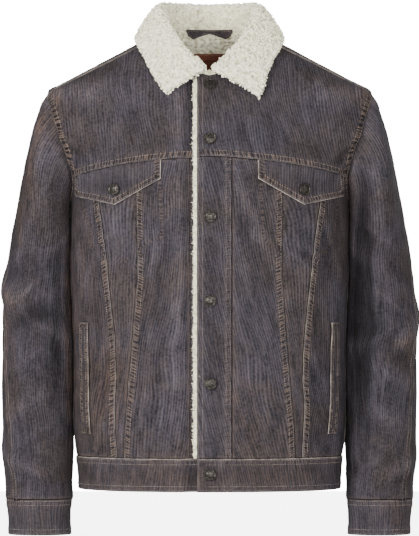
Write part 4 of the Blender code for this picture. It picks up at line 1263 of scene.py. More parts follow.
def lower_front(side, word):
    seams = front_lines(side)
    bag = [bag_seam(side)]
    ends = [line(np.array([0.0, 1.0])) for line in seams]

    def between(k):
        """The lines of the panel between two of the upright seams."""
        (low, high), (next_low, next_high) = ends[k][:, 0], ends[k + 1][:, 0]
        return (level_line(WAIST_SEAM, low, next_low), yoke_line(high, next_high), *seams[k:k + 2])

    strip_kinds = ("edge", "felled") if side > 0 else (None, "line")
    panel("placket_" + word, side, between(0), ("under", "under", *strip_kinds), straight=True)
    panel("front_centre_" + word, side, between(1), ("under", "under", "under", "lap"), extra=bag)
    panel("front_middle_" + word, side, between(2), ("under",) * 4, extra=bag)
    arm_start = armhole(TURN_YOKE)
    top = (yoke_line(ends[3][1, 0], arm_start[0]), arm_line(TURN_YOKE, TURN_SIDE))
    panel("front_side_" + word, side,
          (level_line(WAIST_SEAM, ends[3][0, 0], 90.0), chain(*top), seams[3], side_line),
          ("under", ((joints_of(*top)[0], "under"), (1.0, "lap")), "lap", "under"), extra=bag)


for side, word in SIDES:
    lower_front(side, word)
print("lower fronts: pieces", len(made_cloth) - 2)

# %% Back and waistband
BAND_CLOTH = 3.5


def neck_back(s):
    angle = NECK_SIDE_ANGLE + (360 - 2 * NECK_SIDE_ANGLE) * s
    return pairs(angle, neck_height(180 - np.abs(angle - 180)))


arm_top = arm_line(TURN_SHOULDER + 360, TURN_BACK_YOKE)
arm_low = arm_line(TURN_SIDE, TURN_BACK_YOKE)
panel("back_yoke", 1,
      (chain(arm_top, back_yoke_line, mirrored(arm_top)), neck_back, shoulder_line,
       mirrored(reverse(shoulder_line))),
      ("lap", None, "lap", "lap"), straight=True)
lower = (arm_low, back_yoke_line, mirrored(arm_low))
arm_share = joints_of(*lower)
panel("back_panel", 1,
      (level_line(WAIST_SEAM, 90.0, 270.0), chain(*lower), side_line, back_side_line),
      ("under", ((arm_share[0], "lap"), (arm_share[1], "under"), (1.0, "lap")), "lap", "lap"))


def waistband(name, side, start, end, kinds):
    lines = [level_line(z, start, end) for z in (HEM, WAIST_SEAM)]
    lines += [upright_line(angle, HEM, WAIST_SEAM) for angle in (start, end)]
    panel(name, side, lines, kinds, trim_cord, BAND_CLOTH, lift=lambda grid: 1.0)


for side, word in SIDES:
    first_angle = front_lines(side)[0](0.0)[0]
    waistband("waistband_front_" + word, side, first_angle, 90.0, ("edge", "band", "edge", None))
waistband("waistband_back", 1, 90.0, 270.0, ("edge", "band", None, None))
print("cloth pieces so far:", len(made_cloth))

# %% [markdown]
# ## Sleeves
#
# A sleeve hangs from the armhole. Its cap leaves the shoulder seam steeply and the front and back
# at a slant, and it has become a plain tube a third of the way down. From there a table of rings
# gives its outline, which is bent forward a little at the elbow. The arm is never straight, so
# the cloth has soft diagonal folds at the elbow and small ones above the cuff.

# %% The sleeve's form
SLEEVE_CLOTH = 2.4
CUFF_SEAM, CUFF_END = -682.0, -734.0
CAP_END = -300.0            # where the sleeve has become a plain tube
SLEEVE_SEAM_DRIFT = 26.0    # degrees that the upper seam comes forward down the sleeve
SLEEVE_GIRTH_SCALE = 56.0
SLEEVE_CLEARANCE, SLEEVE_SOFTNESS = 3.2, 2.0
FREE_OF_SEAM = 0.25         # share of the cap over which the side starts to push
ARMHOLE_TUCK = -1.2         # the sleeve starts just under the body's folded edge
TUCKED_WAY, TUCK_REACH, TUCK_DEPTH = 0.035, 9.0, 3.0     # its hidden allowance inside the seam

Ring = namedtuple("Ring", "z outer inner middle_y half_depth")
SLEEVE = table(Ring, """
    -265 280 198 18 79 | -300 288.5 199 22 75 | -330 293.5 199 24 71 | -380 300 199 26 66
    -422 302 198 26 63 | -505 303 197 21 58 | -576 301 200 13 52 | -623 300 202 7 48
    -660 296.5 203 1 44 | -682 296 203 -2 42 | -734 292.6 203 -8 36
""")
SLEEVE_FOLDS = {
    1: table(Fold, """
        110 -330 30 45 15 4.5 | 60 -350 28 50 16 -3.5 | 20 -430 -38 55 17 6.0
        55 -470 30 50 15 -4.0 | 120 -455 -25 50 16 4.5 | 70 -560 24 50 15 3.5
        40 -640 -18 55 14 4.0 | 110 -650 16 50 13 -3.0 | 200 -440 20 60 18 5.0
        290 -470 -16 60 20 -1.5 | 255 -380 24 60 20 1.5 | 300 -620 12 60 16 1.5
    """),
    -1: table(Fold, """
        105 -320 34 45 15 4.5 | 58 -345 24 50 16 -3.5 | 18 -378 -34 52 16 6.0
        60 -420 34 50 15 -4.0 | 118 -440 -22 50 16 4.5 | 60 -540 26 50 15 3.5
        36 -630 -20 55 14 4.0 | 100 -655 14 50 13 -3.0 | 200 -450 20 60 18 5.0
        290 -460 -18 60 20 -1.5 | 250 -370 22 60 20 1.5 | 305 -610 12 60 16 1.5
    """),
}
SLEEVE_CREASES = {
    1: table(Fold, """
        95 -205 60 34 5 2.2 | 82 -240 52 36 6 1.6 | 100 -290 36 40 6 1.6
        70 -395 30 40 6 1.5 | 86 -445 -32 34 5 1.7 | 60 -505 26 36 6 1.4
        100 -520 -30 30 5 1.3 | 80 -600 22 34 5 1.5 | 64 -655 -16 34 5 1.6
        110 -668 12 26 4.5 1.4 | 96 -630 -22 26 5 1.2 | 270 -420 20 40 6 0.6
        255 -520 -24 40 6 0.6 | 280 -640 16 34 5 0.6 | 250 -300 34 40 6 0.6
    """),
    -1: table(Fold, """
        96 -225 58 34 5.5 1.6 | 80 -262 50 36 6 1.5 | 104 -300 34 40 6 1.5
        66 -380 34 42 6 1.7 | 84 -425 -30 34 5 1.5 | 58 -480 30 40 6 1.5
        98 -500 -26 30 5 1.3 | 74 -585 24 36 5 1.5 | 60 -640 -18 34 5 1.5
        108 -664 14 26 4.5 1.4 | 92 -612 -20 28 5 1.2 | 268 -410 22 40 6 0.6
        256 -505 -22 40 6 0.6 | 282 -632 14 34 5 0.6 | 252 -305 36 40 6 0.6
    """),
}
LEAVE_TOP, LEAVE_FRONT = (0.33, 0.0, -0.94), (0.75, -0.30, -0.58)   # ways out of the armhole
LEAVE_BOTTOM, LEAVE_BACK = (0.12, 0.0, -0.99), (0.72, 0.36, -0.58)

ring_outer, ring_inner, ring_middle, ring_depth = columns(SLEEVE)


def ring_point(turn, z):
    s, c = np.sin(np.radians(turn)), np.cos(np.radians(turn))
    x = (ring_outer(z) + ring_inner(z)) / 2 + (ring_outer(z) - ring_inner(z)) / 2 * c
    return np.stack([x, ring_middle(z) - ring_depth(z) * s, z + 0 * x], -1)


def leaving_direction(turn):
    s, c = np.sin(np.radians(turn)), np.cos(np.radians(turn))
    shares = (np.maximum(c, 0), np.maximum(s, 0), np.maximum(-c, 0), np.maximum(-s, 0))
    ways = (LEAVE_TOP, LEAVE_FRONT, LEAVE_BOTTOM, LEAVE_BACK)
    return unit(sum(share[..., None] ** 2 * np.array(way) for share, way in zip(shares, ways)))


def clear_of_side(points, way):
    """Pushes the sleeve outwards where it would cut into the body's side, but not at its seam."""
    y, z = points[..., 1], points[..., 2]
    depth = np.where(y < 0, front_depth(z), back_depth(z))
    share = np.clip(1 - np.abs(y / depth) ** ROUNDNESS, 0, 1)
    limit = half_width(z) * share ** (1 / ROUNDNESS) + SLEEVE_CLEARANCE
    excess = points[..., 0] - limit
    moved = points.copy()
    pushed = limit + 0.5 * (excess + np.sqrt(excess ** 2 + SLEEVE_SOFTNESS ** 2))
    moved[..., 0] += (pushed - points[..., 0]) * smoothstep(way / FREE_OF_SEAM)
    return moved


def plain_sleeve(turn, way):
    """The left sleeve. Way runs 0 to 1 down the cap, and 1 to 2 from there to the cuff."""
    turn, way = np.broadcast_arrays(np.asarray(turn, float), np.asarray(way, float))
    t = np.clip(way, 0, 1)[..., None]
    tucked = np.clip(-way / TUCKED_WAY, 0, 1)[..., None]
    hole = armhole(turn)
    start = body(hole[..., 0], hole[..., 1], ARMHOLE_TUCK)[0]
    inner = body(hole[..., 0], hole[..., 1], ARMHOLE_TUCK - TUCK_DEPTH)[0]
    end = ring_point(turn, CAP_END)
    reach = np.linalg.norm(end - start, axis=-1, keepdims=True)
    leave = leaving_direction(turn) * reach
    arrive = unit(ring_point(turn, CAP_END - 1.0) - end) * reach
    cap = bend(t, start, end, leave, arrive)
    drift = SLEEVE_SEAM_DRIFT * (1 + np.cos(np.radians(turn - TURN_SLEEVE_SEAM))) / 2
    lower_turn = turn + drift * smoothstep(way - 1)
    z = CAP_END + (CUFF_SEAM - CAP_END) * np.maximum(way - 1, 0)
    points = clear_of_side(np.where(t < 1, cap, ring_point(lower_turn, z)), way)
    return points + tucked * (inner - start - [TUCK_REACH, 0, 0])


def sleeve_surface(side, turn, way):
    """The sleeve's outer face with its folds, mirrored for the right arm, and its normals."""
    def folded(u, v):
        base = plain_sleeve(u, v)
        height = fold_height(SLEEVE_FOLDS[side], SLEEVE_CREASES[side], u, base[..., 2],
                             SLEEVE_GIRTH_SCALE)
        ends = smoothstep(np.minimum(v * 2.5, (2 - v) * 6))
        return base + (height * ends)[..., None] * normals_of(plain_sleeve, u, v, 1.0, 0.01)

    normals = normals_of(folded, turn, way, 1.0, 0.01)
    thickness = SLEEVE_CLOTH * smoothstep(way / 0.1)
    points = clear_of_side(folded(turn, way), way) + (thickness + 0 * turn)[..., None] * normals
    return points * (side, 1, 1), normals * (side, 1, 1)


print("the sleeve is", 2 * float(ring_depth(-422)), "mm deep at the elbow")

# %% Sleeves and cuffs
CAP_LENGTH, TUBE_LENGTH = 190.0, 395.0
SLEEVE_HALF_GIRTH, CUFF_GIRTH = 200.0, 270.0
CUFF_LIFT = 0.6


def sleeve_ways():
    """Shares down the sleeve, evenly spaced in mm over the cap and the tube."""
    down = spaced(CAP_LENGTH + TUBE_LENGTH) * (CAP_LENGTH + TUBE_LENGTH)
    ways = np.where(down < CAP_LENGTH, down / CAP_LENGTH, 1 + (down - CAP_LENGTH) / TUBE_LENGTH)
    return np.concatenate([[-TUCKED_WAY], ways])


def sleeve(side, word):
    for name, start, end in (("sleeve_top_", TURN_SLEEVE_SEAM - 360, TURN_SIDE),
                             ("sleeve_under_", TURN_SIDE, TURN_SLEEVE_SEAM)):
        turn = start + (end - start) * spaced(SLEEVE_HALF_GIRTH)[None, :]
        points, normals = sleeve_surface(side, turn, sleeve_ways()[:, None])
        cloth(name + word, points, normals, ("under", "under", "felled", "under"),
              SLEEVE_CLOTH, cord, lining)


def cuff(side, word):
    z = CUFF_END + (CUFF_SEAM - CUFF_END) * spaced(CUFF_SEAM - CUFF_END)[:, None]
    turn = 200 + 360 * spaced(CUFF_GIRTH)[None, :]
    points = ring_point(turn, z)
    normals = -normals_of(ring_point, turn, z, 1.0, 1.0)
    if np.sum(normals[0, 0, :2] * (points[0, 0, :2] - points[0, :, :2].mean(0))) < 0:
        normals = -normals
    points = points + CUFF_LIFT * normals
    cloth("cuff_" + word, points * (side, 1, 1), normals * (side, 1, 1),
          ("edge", "band", None, None), BAND_CLOTH, trim_cord, trim_cord)


for side, word in SIDES:
    sleeve(side, word)
    cuff(side, word)
print("cloth pieces so far:", len(made_cloth))

# %% [markdown]
# ## Flaps and welts
#
# The chest pockets have pointed flaps that are sewn into the yoke seam, and the side pockets have
# narrow slanting welts. Both are cord folded double, so their edges are rounded and worn.

# %% Flaps and welts
TRIM_CLOTH = 2.2
FLAP_SPAN = (69.0, 192.0)   # x of the flap's sides
FLAP_POINT_X = 134.5
FLAP_INNER_Z, FLAP_POINT_Z, FLAP_OUTER_Z = -217.0, -254.0, -241.0
FLAP_GAP, LAID_GAP = 1.5, 0.9
WELT_TOP, WELT_END = (180.0, -424.0), (177.5, -585.0)   # x and z of the ends of its middle line
WELT_WIDTH = 12.0


def laid_on_front(name, side, x, z, out, kinds, wavy=0.2):
    """A piece over points x and z of the front, moved out from the panel under it."""
    points, normals = on_front(x, z, out, side)
    cut = cut_map(points, straight_down=True)
    cloth(name, points, normals, kinds, TRIM_CLOTH, trim_cord, trim_cord, cut, wavy)


def flap(side, word):
    inner_x, outer_x = FLAP_SPAN
    inner, outer = FLAP_POINT_X - inner_x, outer_x - FLAP_POINT_X
    x = np.concatenate([inner_x + inner * spaced(inner), FLAP_POINT_X + outer * spaced(outer)[1:]])
    share = spaced(40.0)[:, None]
    lower = np.interp(x, [inner_x, FLAP_POINT_X, outer_x],
                      [FLAP_INNER_Z, FLAP_POINT_Z, FLAP_OUTER_Z])
    top = yoke_seam_height(x) - 0.6
    z = lower * (1 - share) + top * share
    x = x[None, :] + 0 * z
    tip = smoothstep(1 - np.hypot(x - FLAP_POINT_X, z - FLAP_POINT_Z) / 30)
    below_yoke = smoothstep((top - z) / 7)
    out = FLAP_GAP + TRIM_CLOTH * (0.35 + 0.65 * below_yoke) + 0.8 * tip
    laid_on_front("flap_" + word, side, x, z, out, ("flap", None, "flap", "flap"))


def welt(side, word):
    share, across = spaced(161.0)[:, None], (spaced(13.0) - 0.5)[None, :]
    x = WELT_END[0] + (WELT_TOP[0] - WELT_END[0]) * share + WELT_WIDTH * across
    z = WELT_END[1] + (WELT_TOP[1] - WELT_END[1]) * share + 0 * x
    laid_on_front("welt_" + word, side, x, z, LAID_GAP + TRIM_CLOTH, ("welt",) * 4, 0.15)


for side, word in SIDES:
    flap(side, word)
    welt(side, word)
print("flap", FLAP_SPAN[1] - FLAP_SPAN[0], "mm wide, welt", WELT_WIDTH, "mm")

# %% [markdown]
# ## The collar
#
# The collar stands up from the neckline and falls back over itself. Its section at each station
# is a straight stand, a round roll and a fall with a slight belly, whose edge rests on the
# shoulders. The under-collar is cord and its edge peeps out below the pile, which is a thick
# layer on top of it.

# %% The collar's form
SEAM_GAP = 0.3
COLLAR_CLOTH, COLLAR_PILE = 1.8, 6.3
Station = namedtuple("Station", "angle roll_x roll_y roll_z edge_angle edge_z")
COLLAR = table(Station, """
    3 5 -98 -56 13.2 -96 | 12 29 -84 -33 17.0 -80 | 24 47 -66 -13 24.5 -59
    40 58 -47 7 37.0 -39 | 60 68 -22 27 56.0 -24 | 90 72 4 39 90.0 -13.5
    125 60 45 46 130.0 -17 | 150 36 68 48 153.0 -20 | 180 0 78 48 180.0 -21
""")
COLLAR_TIP_SHIFT = 1.3      # degrees that the points sit towards the wearer's left
COLLAR_TIP_DROP = 6.0       # how much lower the left point lies
COLLAR_TIP_REACH = 12.0     # degrees
COLLAR_CORNER_DROP = 5.5    # from the top of the pile to the corner of the cloth's fold
COLLAR_CORNER_CUT = 6.0
COLLAR_BELLY = 2.0
COLLAR_REST = 1.2           # clearance of the fall from the body
COLLAR_LIFT = 0.7           # clearance of the stand from the neckline

collar_value = dict(zip(Station._fields[1:], columns(COLLAR)))


def distance_from_body(points):
    """Roughly how far points lie outside the plain form, and the way out."""
    def level(p):
        depth = np.where(p[..., 1] < 0, front_depth(p[..., 2]), back_depth(p[..., 2]))
        width = np.maximum(half_width(p[..., 2]), 1.0)
        across, deep = np.abs(p[..., 0] / width), np.abs(p[..., 1] / np.maximum(depth, 1.0))
        return (across ** ROUNDNESS + deep ** ROUNDNESS) ** (1 / ROUNDNESS) - 1

    slope = [level(points + step) - level(points - step) for step in 0.5 * np.eye(3)]
    slope = np.stack(slope, -1)
    steepness = np.linalg.norm(slope, axis=-1)
    return level(points) / steepness, slope / steepness[..., None]


def collar_cloth(angles, stand_shares, roll_shares, fall_shares):
    """A grid over the collar's cloth: rows from the neckline over the roll to the edge, and
    columns around the neck. Also its normals, towards the pile."""
    side = np.where(angles <= 180, 1.0, -1.0)
    turned = 180 - np.abs(angles - 180)
    at = {name: value(turned) for name, value in collar_value.items()}
    start = body(side * turned, neck_height(turned))[0]
    above = body(side * turned, neck_height(turned) + 1.0)[0]
    start = start + COLLAR_LIFT * unit(above - start)
    corner = np.stack([side * at["roll_x"], at["roll_y"], at["roll_z"] - COLLAR_CORNER_DROP], -1)
    tip = np.exp(-(turned / COLLAR_TIP_REACH) ** 2)
    resting = side * at["edge_angle"] + COLLAR_TIP_SHIFT * tip
    end = body(resting, at["edge_z"] - COLLAR_TIP_DROP * tip * (side > 0), COLLAR_REST)[0]

    stand, fall = corner - start, end - corner
    stand_length = np.linalg.norm(stand, axis=-1, keepdims=True)
    cut = np.minimum(COLLAR_CORNER_CUT, 0.48 * stand_length)
    before = corner - unit(stand) * cut
    after = corner + unit(fall) * cut
    outwards = unit(np.cross(fall, np.cross(np.array([0, 0, 1.0]), fall)))
    rows = [start + (before - start) * t for t in stand_shares]
    rows += [before * (1 - t) ** 2 + 2 * corner * t * (1 - t) + after * t * t for t in roll_shares]
    rows += [after + (end - after) * t + COLLAR_BELLY * 4 * t * (1 - t) * outwards
             for t in fall_shares]
    grid = np.stack(rows)
    falling = len(stand_shares) + len(roll_shares) - 1
    for _ in range(3):
        distance, way_out = distance_from_body(grid[falling:])
        grid[falling:] += np.maximum(COLLAR_REST - distance, 0)[..., None] * way_out
    return grid, unit(np.cross(np.gradient(grid, axis=0), np.gradient(grid, axis=1)))


def shares(count):
    return np.linspace(0, 1, count)


# %% [markdown]
# Pile is a closed solid with rounded borders. Its face is strewn with small domes of mixed sizes,
# the crumbs of the curled yarn. The domes stand off the face, and at the borders they stick out
# sideways, so that the outline is uneven too.

# %% Pile pieces
def curls(points, spacing, size, seed):
    """Height from 0 to 1 of round crumbs strewn at random over a grid of points."""
    rng = np.random.default_rng(seed)
    flat = points.reshape(-1, 3)
    count = int(area_of(points) / spacing ** 2)
    centres = flat[rng.integers(0, len(flat), count)] + rng.normal(0, 0.5, (count, 3))
    radii = size * rng.uniform(0.75, 1.3, count)
    tree = KDTree(count)
    for number, centre in enumerate(centres):
        tree.insert(centre, number)
    tree.balance()
    height = np.zeros(len(flat))
    for number, point in enumerate(flat):
        near = tree.find_n(point, 4)
        height[number] = max(1 - (gap / radii[k]) ** 2 for _, k, gap in near)
    return np.maximum(height, 0).reshape(points.shape[:2])


def border_distance(points):
    """How far each grid point is from the grid's border, along its row or column."""
    def both_ways(axis):
        way = running_total(steps_of(points, axis), axis)
        return np.minimum(way, np.take(way, [-1], axis) - way)

    return np.minimum(both_ways(1), both_ways(0))


CRUMB_SPACING, CRUMB_SIZE = 3.6, 0.82 * 3.6
SPILL = 2.2                 # how far crumbs stick out sideways at a border


def pile_piece(node, base, normals, depth, seed, crumb=2.4):
    """A closed solid of pile on a grid of points, with rounded borders and crumbs."""
    inside = np.minimum(border_distance(base) / depth, 1)
    profile = np.sqrt(1 - (1 - inside) ** 2)
    height = curls(base, CRUMB_SPACING, CRUMB_SIZE, seed)
    outer = base + ((depth + ripple(base, 0.5, 9, 30)) * profile)[..., None] * normals
    outer += (crumb * (height - 0.5) * profile)[..., None] * normals
    outwards = outer - np.roll(outer, -1, axis=0)
    outwards[-1] = outer[-1] - outer[-2]
    outwards[1:-1] = 0
    outwards[:, 0] += outer[:, 0] - outer[:, 2]
    outwards[:, -1] += outer[:, -1] - outer[:, -3]
    outer += SPILL * (height * (1 - profile))[..., None] * unit(outwards)

    rows, columns = base.shape[:2]
    front = np.arange(rows * columns).reshape(rows, columns)
    back = front.copy()
    back[1:-1, 1:-1] = rows * columns + np.arange((rows - 2) * (columns - 2)).reshape(rows - 2, -1)
    points = np.concatenate([outer.reshape(-1, 3), base[1:-1, 1:-1].reshape(-1, 3)])
    faces = np.concatenate([quads(front), quads(back)[:, ::-1]])
    a, b, c = (points[quads(front)[:, k]] for k in range(3))
    if np.sum(np.cross(b - a, c - a) * normals.reshape(-1, 3)[quads(front)[:, 0]]) < 0:
        faces = faces[:, ::-1]
    mesh = new_mesh(node, points, faces)
    mesh.materials.append(pile)
    keep_sheet(new_object(node + "_cloth", mesh), node, base)


# %% The collar's two layers
collar_angles = np.concatenate([np.linspace(3, 57, 75), np.linspace(57, 303, 250)[1:-1],
                                np.linspace(303, 357, 75)])
under_grid, under_normals = collar_cloth(collar_angles[::2], shares(16), shares(7)[1:],
                                         shares(30)[1:])
lip = 1.6 * unit(under_grid[-1] - under_grid[-2])
under_grid = np.concatenate([under_grid, (under_grid[-1] + lip)[None]])
under_normals = np.concatenate([under_normals, under_normals[-1:]])
cloth("under_collar", under_grid, -under_normals, (None, "edge", "edge", "edge"), COLLAR_CLOTH,
      trim_cord, trim_cord, wavy=0.15)
pile_grid, pile_normals = collar_cloth(collar_angles, shares(34), shares(12)[1:], shares(58)[1:])
collar_base = pile_grid + (COLLAR_CLOTH + SEAM_GAP) * pile_normals
pile_piece("collar_pile", collar_base, pile_normals, COLLAR_PILE, seed=3)
print("collar pile:", len(made_cloth[-1].piece.data.polygons), "faces")

# %% [markdown]
# Pile also shows inside the back neck, and as a narrow strip along the left front's edge, where
# the facing sticks out from under the cord.

# %% Neck lining and front edge
NECK_PILE, EDGE_PILE = 4.0, 3.0
ROLL_PILE, ROLL_DEPTH = 3.5, 4.0
LINING_ANGLE = 44.0         # how far the lining reaches around the neck, from the centre back
LINING_RISE = 4.0           # up over the seam of the collar


def lining_side(s):
    """From the end of the back yoke seam up to the neckline."""
    low = back_yoke_line(0.0)
    high = np.array([180 - LINING_ANGLE, float(neck_height(180 - LINING_ANGLE)) + LINING_RISE])
    return low + (high - low) * s[:, None]


def lining_top(s):
    angle = 180 - LINING_ANGLE + 2 * LINING_ANGLE * s
    return pairs(angle, neck_height(180 - np.abs(angle - 180)) + LINING_RISE)


def lining_bottom(s):
    found = back_yoke_line(s)
    return pairs(found[:, 0], found[:, 1] + 12.0)


lining_lines = (lining_bottom, lining_top, lining_side, mirrored(reverse(lining_side)))
lining_grid = grid_between(lining_lines, shares(150), shares(80))
lining_points, lining_normals = body(lining_grid[..., 0], lining_grid[..., 1], -BODY_CLOTH - 0.6)
pile_piece("neck_lining", lining_points, -lining_normals, NECK_PILE, seed=5)

edge_x = FRONT_EDGE + np.linspace(-5.5, 8.0, 11)[None, :]
edge_z = np.linspace(WAIST_SEAM + 1.0, FRONT_NECK_Z, 370)[:, None]
strip_points, strip_normals = on_front(edge_x, edge_z, -BODY_CLOTH - SEAM_GAP - EDGE_PILE)
pile_piece("front_edge_pile", strip_points, strip_normals, EDGE_PILE, seed=7, crumb=1.2)

# The facing's pile also stands up behind the fronts' top edge, between the collar's ends.
roll_x = np.linspace(FRONT_EDGE - 2, 20, 33)[None, :]
roll_z = FRONT_NECK_Z + NECK_RISE + np.linspace(-5.0, 4.5, 9)[:, None]
roll_points, roll_normals = on_front(roll_x, roll_z, -ROLL_DEPTH)
pile_piece("front_neck_pile", roll_points, roll_normals, ROLL_PILE, seed=9, crumb=1.2)
print("pile pieces: 4")

# %% [markdown]
# ## Patch, loop and buttons
#
# A plain leather patch is sewn inside the back neck, with a tape loop above it to hang the jacket
# up by. The buttons are turned: a shank, a rim that is rolled over, a groove and a low dome.

# %% Patch and loop
PATCH_LEATHER, LOOP_CLOTH = 1.2, 1.6
PATCH_HALF_WIDTH, PATCH_SPAN = 31.5, (-72.0, -23.0)
patch_x = PATCH_HALF_WIDTH * np.linspace(-1, 1, 41)[None, :]
patch_z = np.linspace(*PATCH_SPAN, 29)[:, None]
patch_points, patch_normals = body(180 - angle_at(patch_x, patch_z), patch_z,
                                   -(BODY_CLOTH + 0.5 + NECK_PILE + 1.5 + PATCH_LEATHER))
cloth("neck_patch", patch_points, -patch_normals, ("edge",) * 4, PATCH_LEATHER, leather, leather,
      wavy=0.1)

LOOP_ANGLE = 26.0           # half of how far it reaches around the neck
LOOP_TOP = 12.5             # above the neck seam
loop_angles = 180 + LOOP_ANGLE * np.linspace(-1, 1, 45)
loop_grid, loop_normals = collar_cloth(loop_angles, (0.04, 0.08), (1.0,), (1.0,))
loop_face = loop_grid[0] + (COLLAR_CLOTH + COLLAR_PILE + 2 * SEAM_GAP + 3.6) * loop_normals[0]
loop_up = unit(loop_grid[1] - loop_grid[0])
loop_place = np.abs(np.linspace(-1, 1, 45))
loop_depth = np.interp(loop_place, [0, 0.12, 0.6, 0.85, 1.0], [6.5, 7.5, 14.5, 10.0, 3.0])
loop_rise = LOOP_TOP - np.linspace(1, 0, 8)[:, None] * loop_depth
loop_points = loop_face[None] + loop_rise[..., None] * loop_up[None]
cloth("hanger_loop", loop_points, np.repeat(loop_normals[:1], 8, 0), ("edge", "edge", None, None),
      LOOP_CLOTH, trim_cord, trim_cord, wavy=0.1)
print("patch", 2 * PATCH_HALF_WIDTH, "mm wide")

# %% Buttons
BUTTON_X, FLAP_BUTTON_Z = 1.0, -232.0
FRONT_BUTTON_HEIGHTS = (-81.2, -159.5, -271.0, -391.5, -510.4, -641.0)
RimPoint = namedtuple("RimPoint", "radius height")
BUTTON_PROFILE = table(RimPoint, """
    5.2 0.0 | 5.2 1.4 | 8.1 1.6 | 8.7 2.0 | 9.0 2.7 | 8.8 3.4 | 8.3 3.8 | 7.7 3.75 | 7.2 3.4
    6.8 3.0 | 6.3 3.1 | 4.8 3.65 | 3.0 4.0 | 1.2 4.18 | 0.0 4.2
""")
made_buttons = []


def button(node, x, z, seat):
    """A turned button that stands on the front at x and z."""
    point, normal = on_front(x, z, seat)
    sideways = unit(np.cross(np.array([0, 0, 1.0]), normal))
    upwards = np.cross(normal, sideways)
    bm = bmesh.new()
    profile = [bm.verts.new((p.radius, 0, p.height)) for p in BUTTON_PROFILE]
    edges = [bm.edges.new(pair) for pair in zip(profile, profile[1:])]
    bmesh.ops.spin(bm, geom=profile + edges, cent=(0, 0, 0), axis=(0, 0, 1), angle=math.tau,
                   steps=40, use_merge=True, use_duplicate=False)
    bmesh.ops.remove_doubles(bm, verts=bm.verts, dist=0.001)
    bmesh.ops.holes_fill(bm, edges=[e for e in bm.edges if e.is_boundary])
    for vert in bm.verts:
        local = np.array(vert.co)
        vert.co = (point + local[0] * sideways + local[1] * upwards + local[2] * normal) * MM
    bmesh.ops.recalc_face_normals(bm, faces=bm.faces)
    mesh = bpy.data.meshes.new(node)
    bm.to_mesh(mesh)
    bm.free()
    mesh.shade_smooth()
    mesh.materials.append(metal)
    made_buttons.append((new_object(node + "_turned", mesh), node))


for number, z in enumerate(FRONT_BUTTON_HEIGHTS, 1):
    button(f"button_front_{number}", BUTTON_X, z, 1.35 if z < WAIST_SEAM else 0.35)
for side, word in SIDES:
    button("button_flap_" + word, side * FLAP_POINT_X, FLAP_BUTTON_Z, FLAP_GAP + TRIM_CLOTH + 0.5)
print("buttons:", len(made_buttons))

# %% [markdown]
# ## Stitches and tufts
#
# Thousands of pieces that are all alike are placed by Geometry Nodes. The rows of topstitching
# were found on the cloth as lines at two distances from every folded edge; the nodes walk along
# them and lay one stitch after the other. The tufts of the pile are strewn over it, and each
# leans its own way, which gives the collar its ragged edge.

# %% Helpers for the node trees that place things
INTEGER, MATERIAL, GEOMETRY = "NodeSocketInt", "NodeSocketMaterial", "NodeSocketGeometry"


def placing_group(name, inputs, build):
    """A geometry tree with named inputs. build(tree, given) returns its instances, which are
    made real and get their material here."""
    tree = bpy.data.node_groups.new(name, "GeometryNodeTree")
    for label, kind in {"Geometry": GEOMETRY, **inputs, "Material": MATERIAL}.items():
        tree.interface.new_socket(label, in_out="INPUT", socket_type=kind)
    tree.interface.new_socket("Geometry", in_out="OUTPUT", socket_type=GEOMETRY)
    given = Placed(tree, tree.nodes.new("NodeGroupInput"))
    real = place(tree, "GeometryNodeRealizeInstances", {0: build(tree, given)})[0]
    smooth = place(tree, "GeometryNodeSetShadeSmooth", {0: real})[0]
    done = place(tree, "GeometryNodeSetMaterial", {0: smooth, "Material": given["Material"]})[0]
    fill(tree, tree.nodes.new("NodeGroupOutput"), {"Geometry": done})
    return tree


def scaled_ball(tree, size):
    ball = place(tree, "GeometryNodeMeshIcoSphere", {"Radius": 1.0, "Subdivisions": 1})[0]
    return place(tree, "GeometryNodeTransform", {0: ball, "Scale": size})[0]


def made_by(tree, source, name, values):
    """Runs a geometry tree on a mesh and keeps the result as a plain mesh object."""
    holder = new_object(name + "_source", source)
    nodes = holder.modifiers.new("nodes", "NODES")
    nodes.node_group = tree
    for item in tree.interface.items_tree:
        if item.item_type == "SOCKET" and item.in_out == "INPUT" and item.name in values:
            nodes[item.identifier] = values[item.name]
    bpy.context.view_layer.update()
    depsgraph = bpy.context.evaluated_depsgraph_get()
    mesh = bpy.data.meshes.new_from_object(holder.evaluated_get(depsgraph))
    bpy.data.objects.remove(holder)
    mesh.name = name
    return new_object(name, mesh)


# %% Stitches
def lay_stitches(tree, given):
    curve = place(tree, "GeometryNodeMeshToCurve", {0: given["Geometry"]})[0]
    spots = place(tree, "GeometryNodeResampleCurve", {0: curve, "Length": given["Pitch"]},
                  mode="LENGTH")[0]
    tangent = place(tree, "GeometryNodeInputTangent")[0]
    turned = place(tree, "FunctionNodeAlignRotationToVector", {"Vector": tangent}, axis="Z")[0]
    return place(tree, "GeometryNodeInstanceOnPoints",
                 {0: spots, "Instance": scaled_ball(tree, given["Size"]), "Rotation": turned})[0]


stitch_tree = placing_group("stitch rows", {"Pitch": FLOAT, "Size": VECTOR}, lay_stitches)
STITCH_PITCH = 3.4
STITCH_SIZE = (0.36, 0.36, 1.25)    # half sizes: across, across and along
corners, joins, known = [], [], {}
for part in stitch_lines:
    ends = []
    for point in part:
        key = tuple(np.round(point, 2))
        if key not in known:
            known[key] = len(corners)
            corners.append(point * MM)
        ends.append(known[key])
    if ends[0] != ends[1]:
        joins.append(ends)
row_mesh = bpy.data.meshes.new("stitch_rows")
row_mesh.from_pydata(corners, joins, [])
stitching = made_by(stitch_tree, row_mesh, "stitching", {
    "Pitch": STITCH_PITCH * MM, "Size": [half * MM for half in STITCH_SIZE], "Material": thread})
print("stitching:", len(stitching.data.polygons), "faces along", len(joins), "parts of rows")


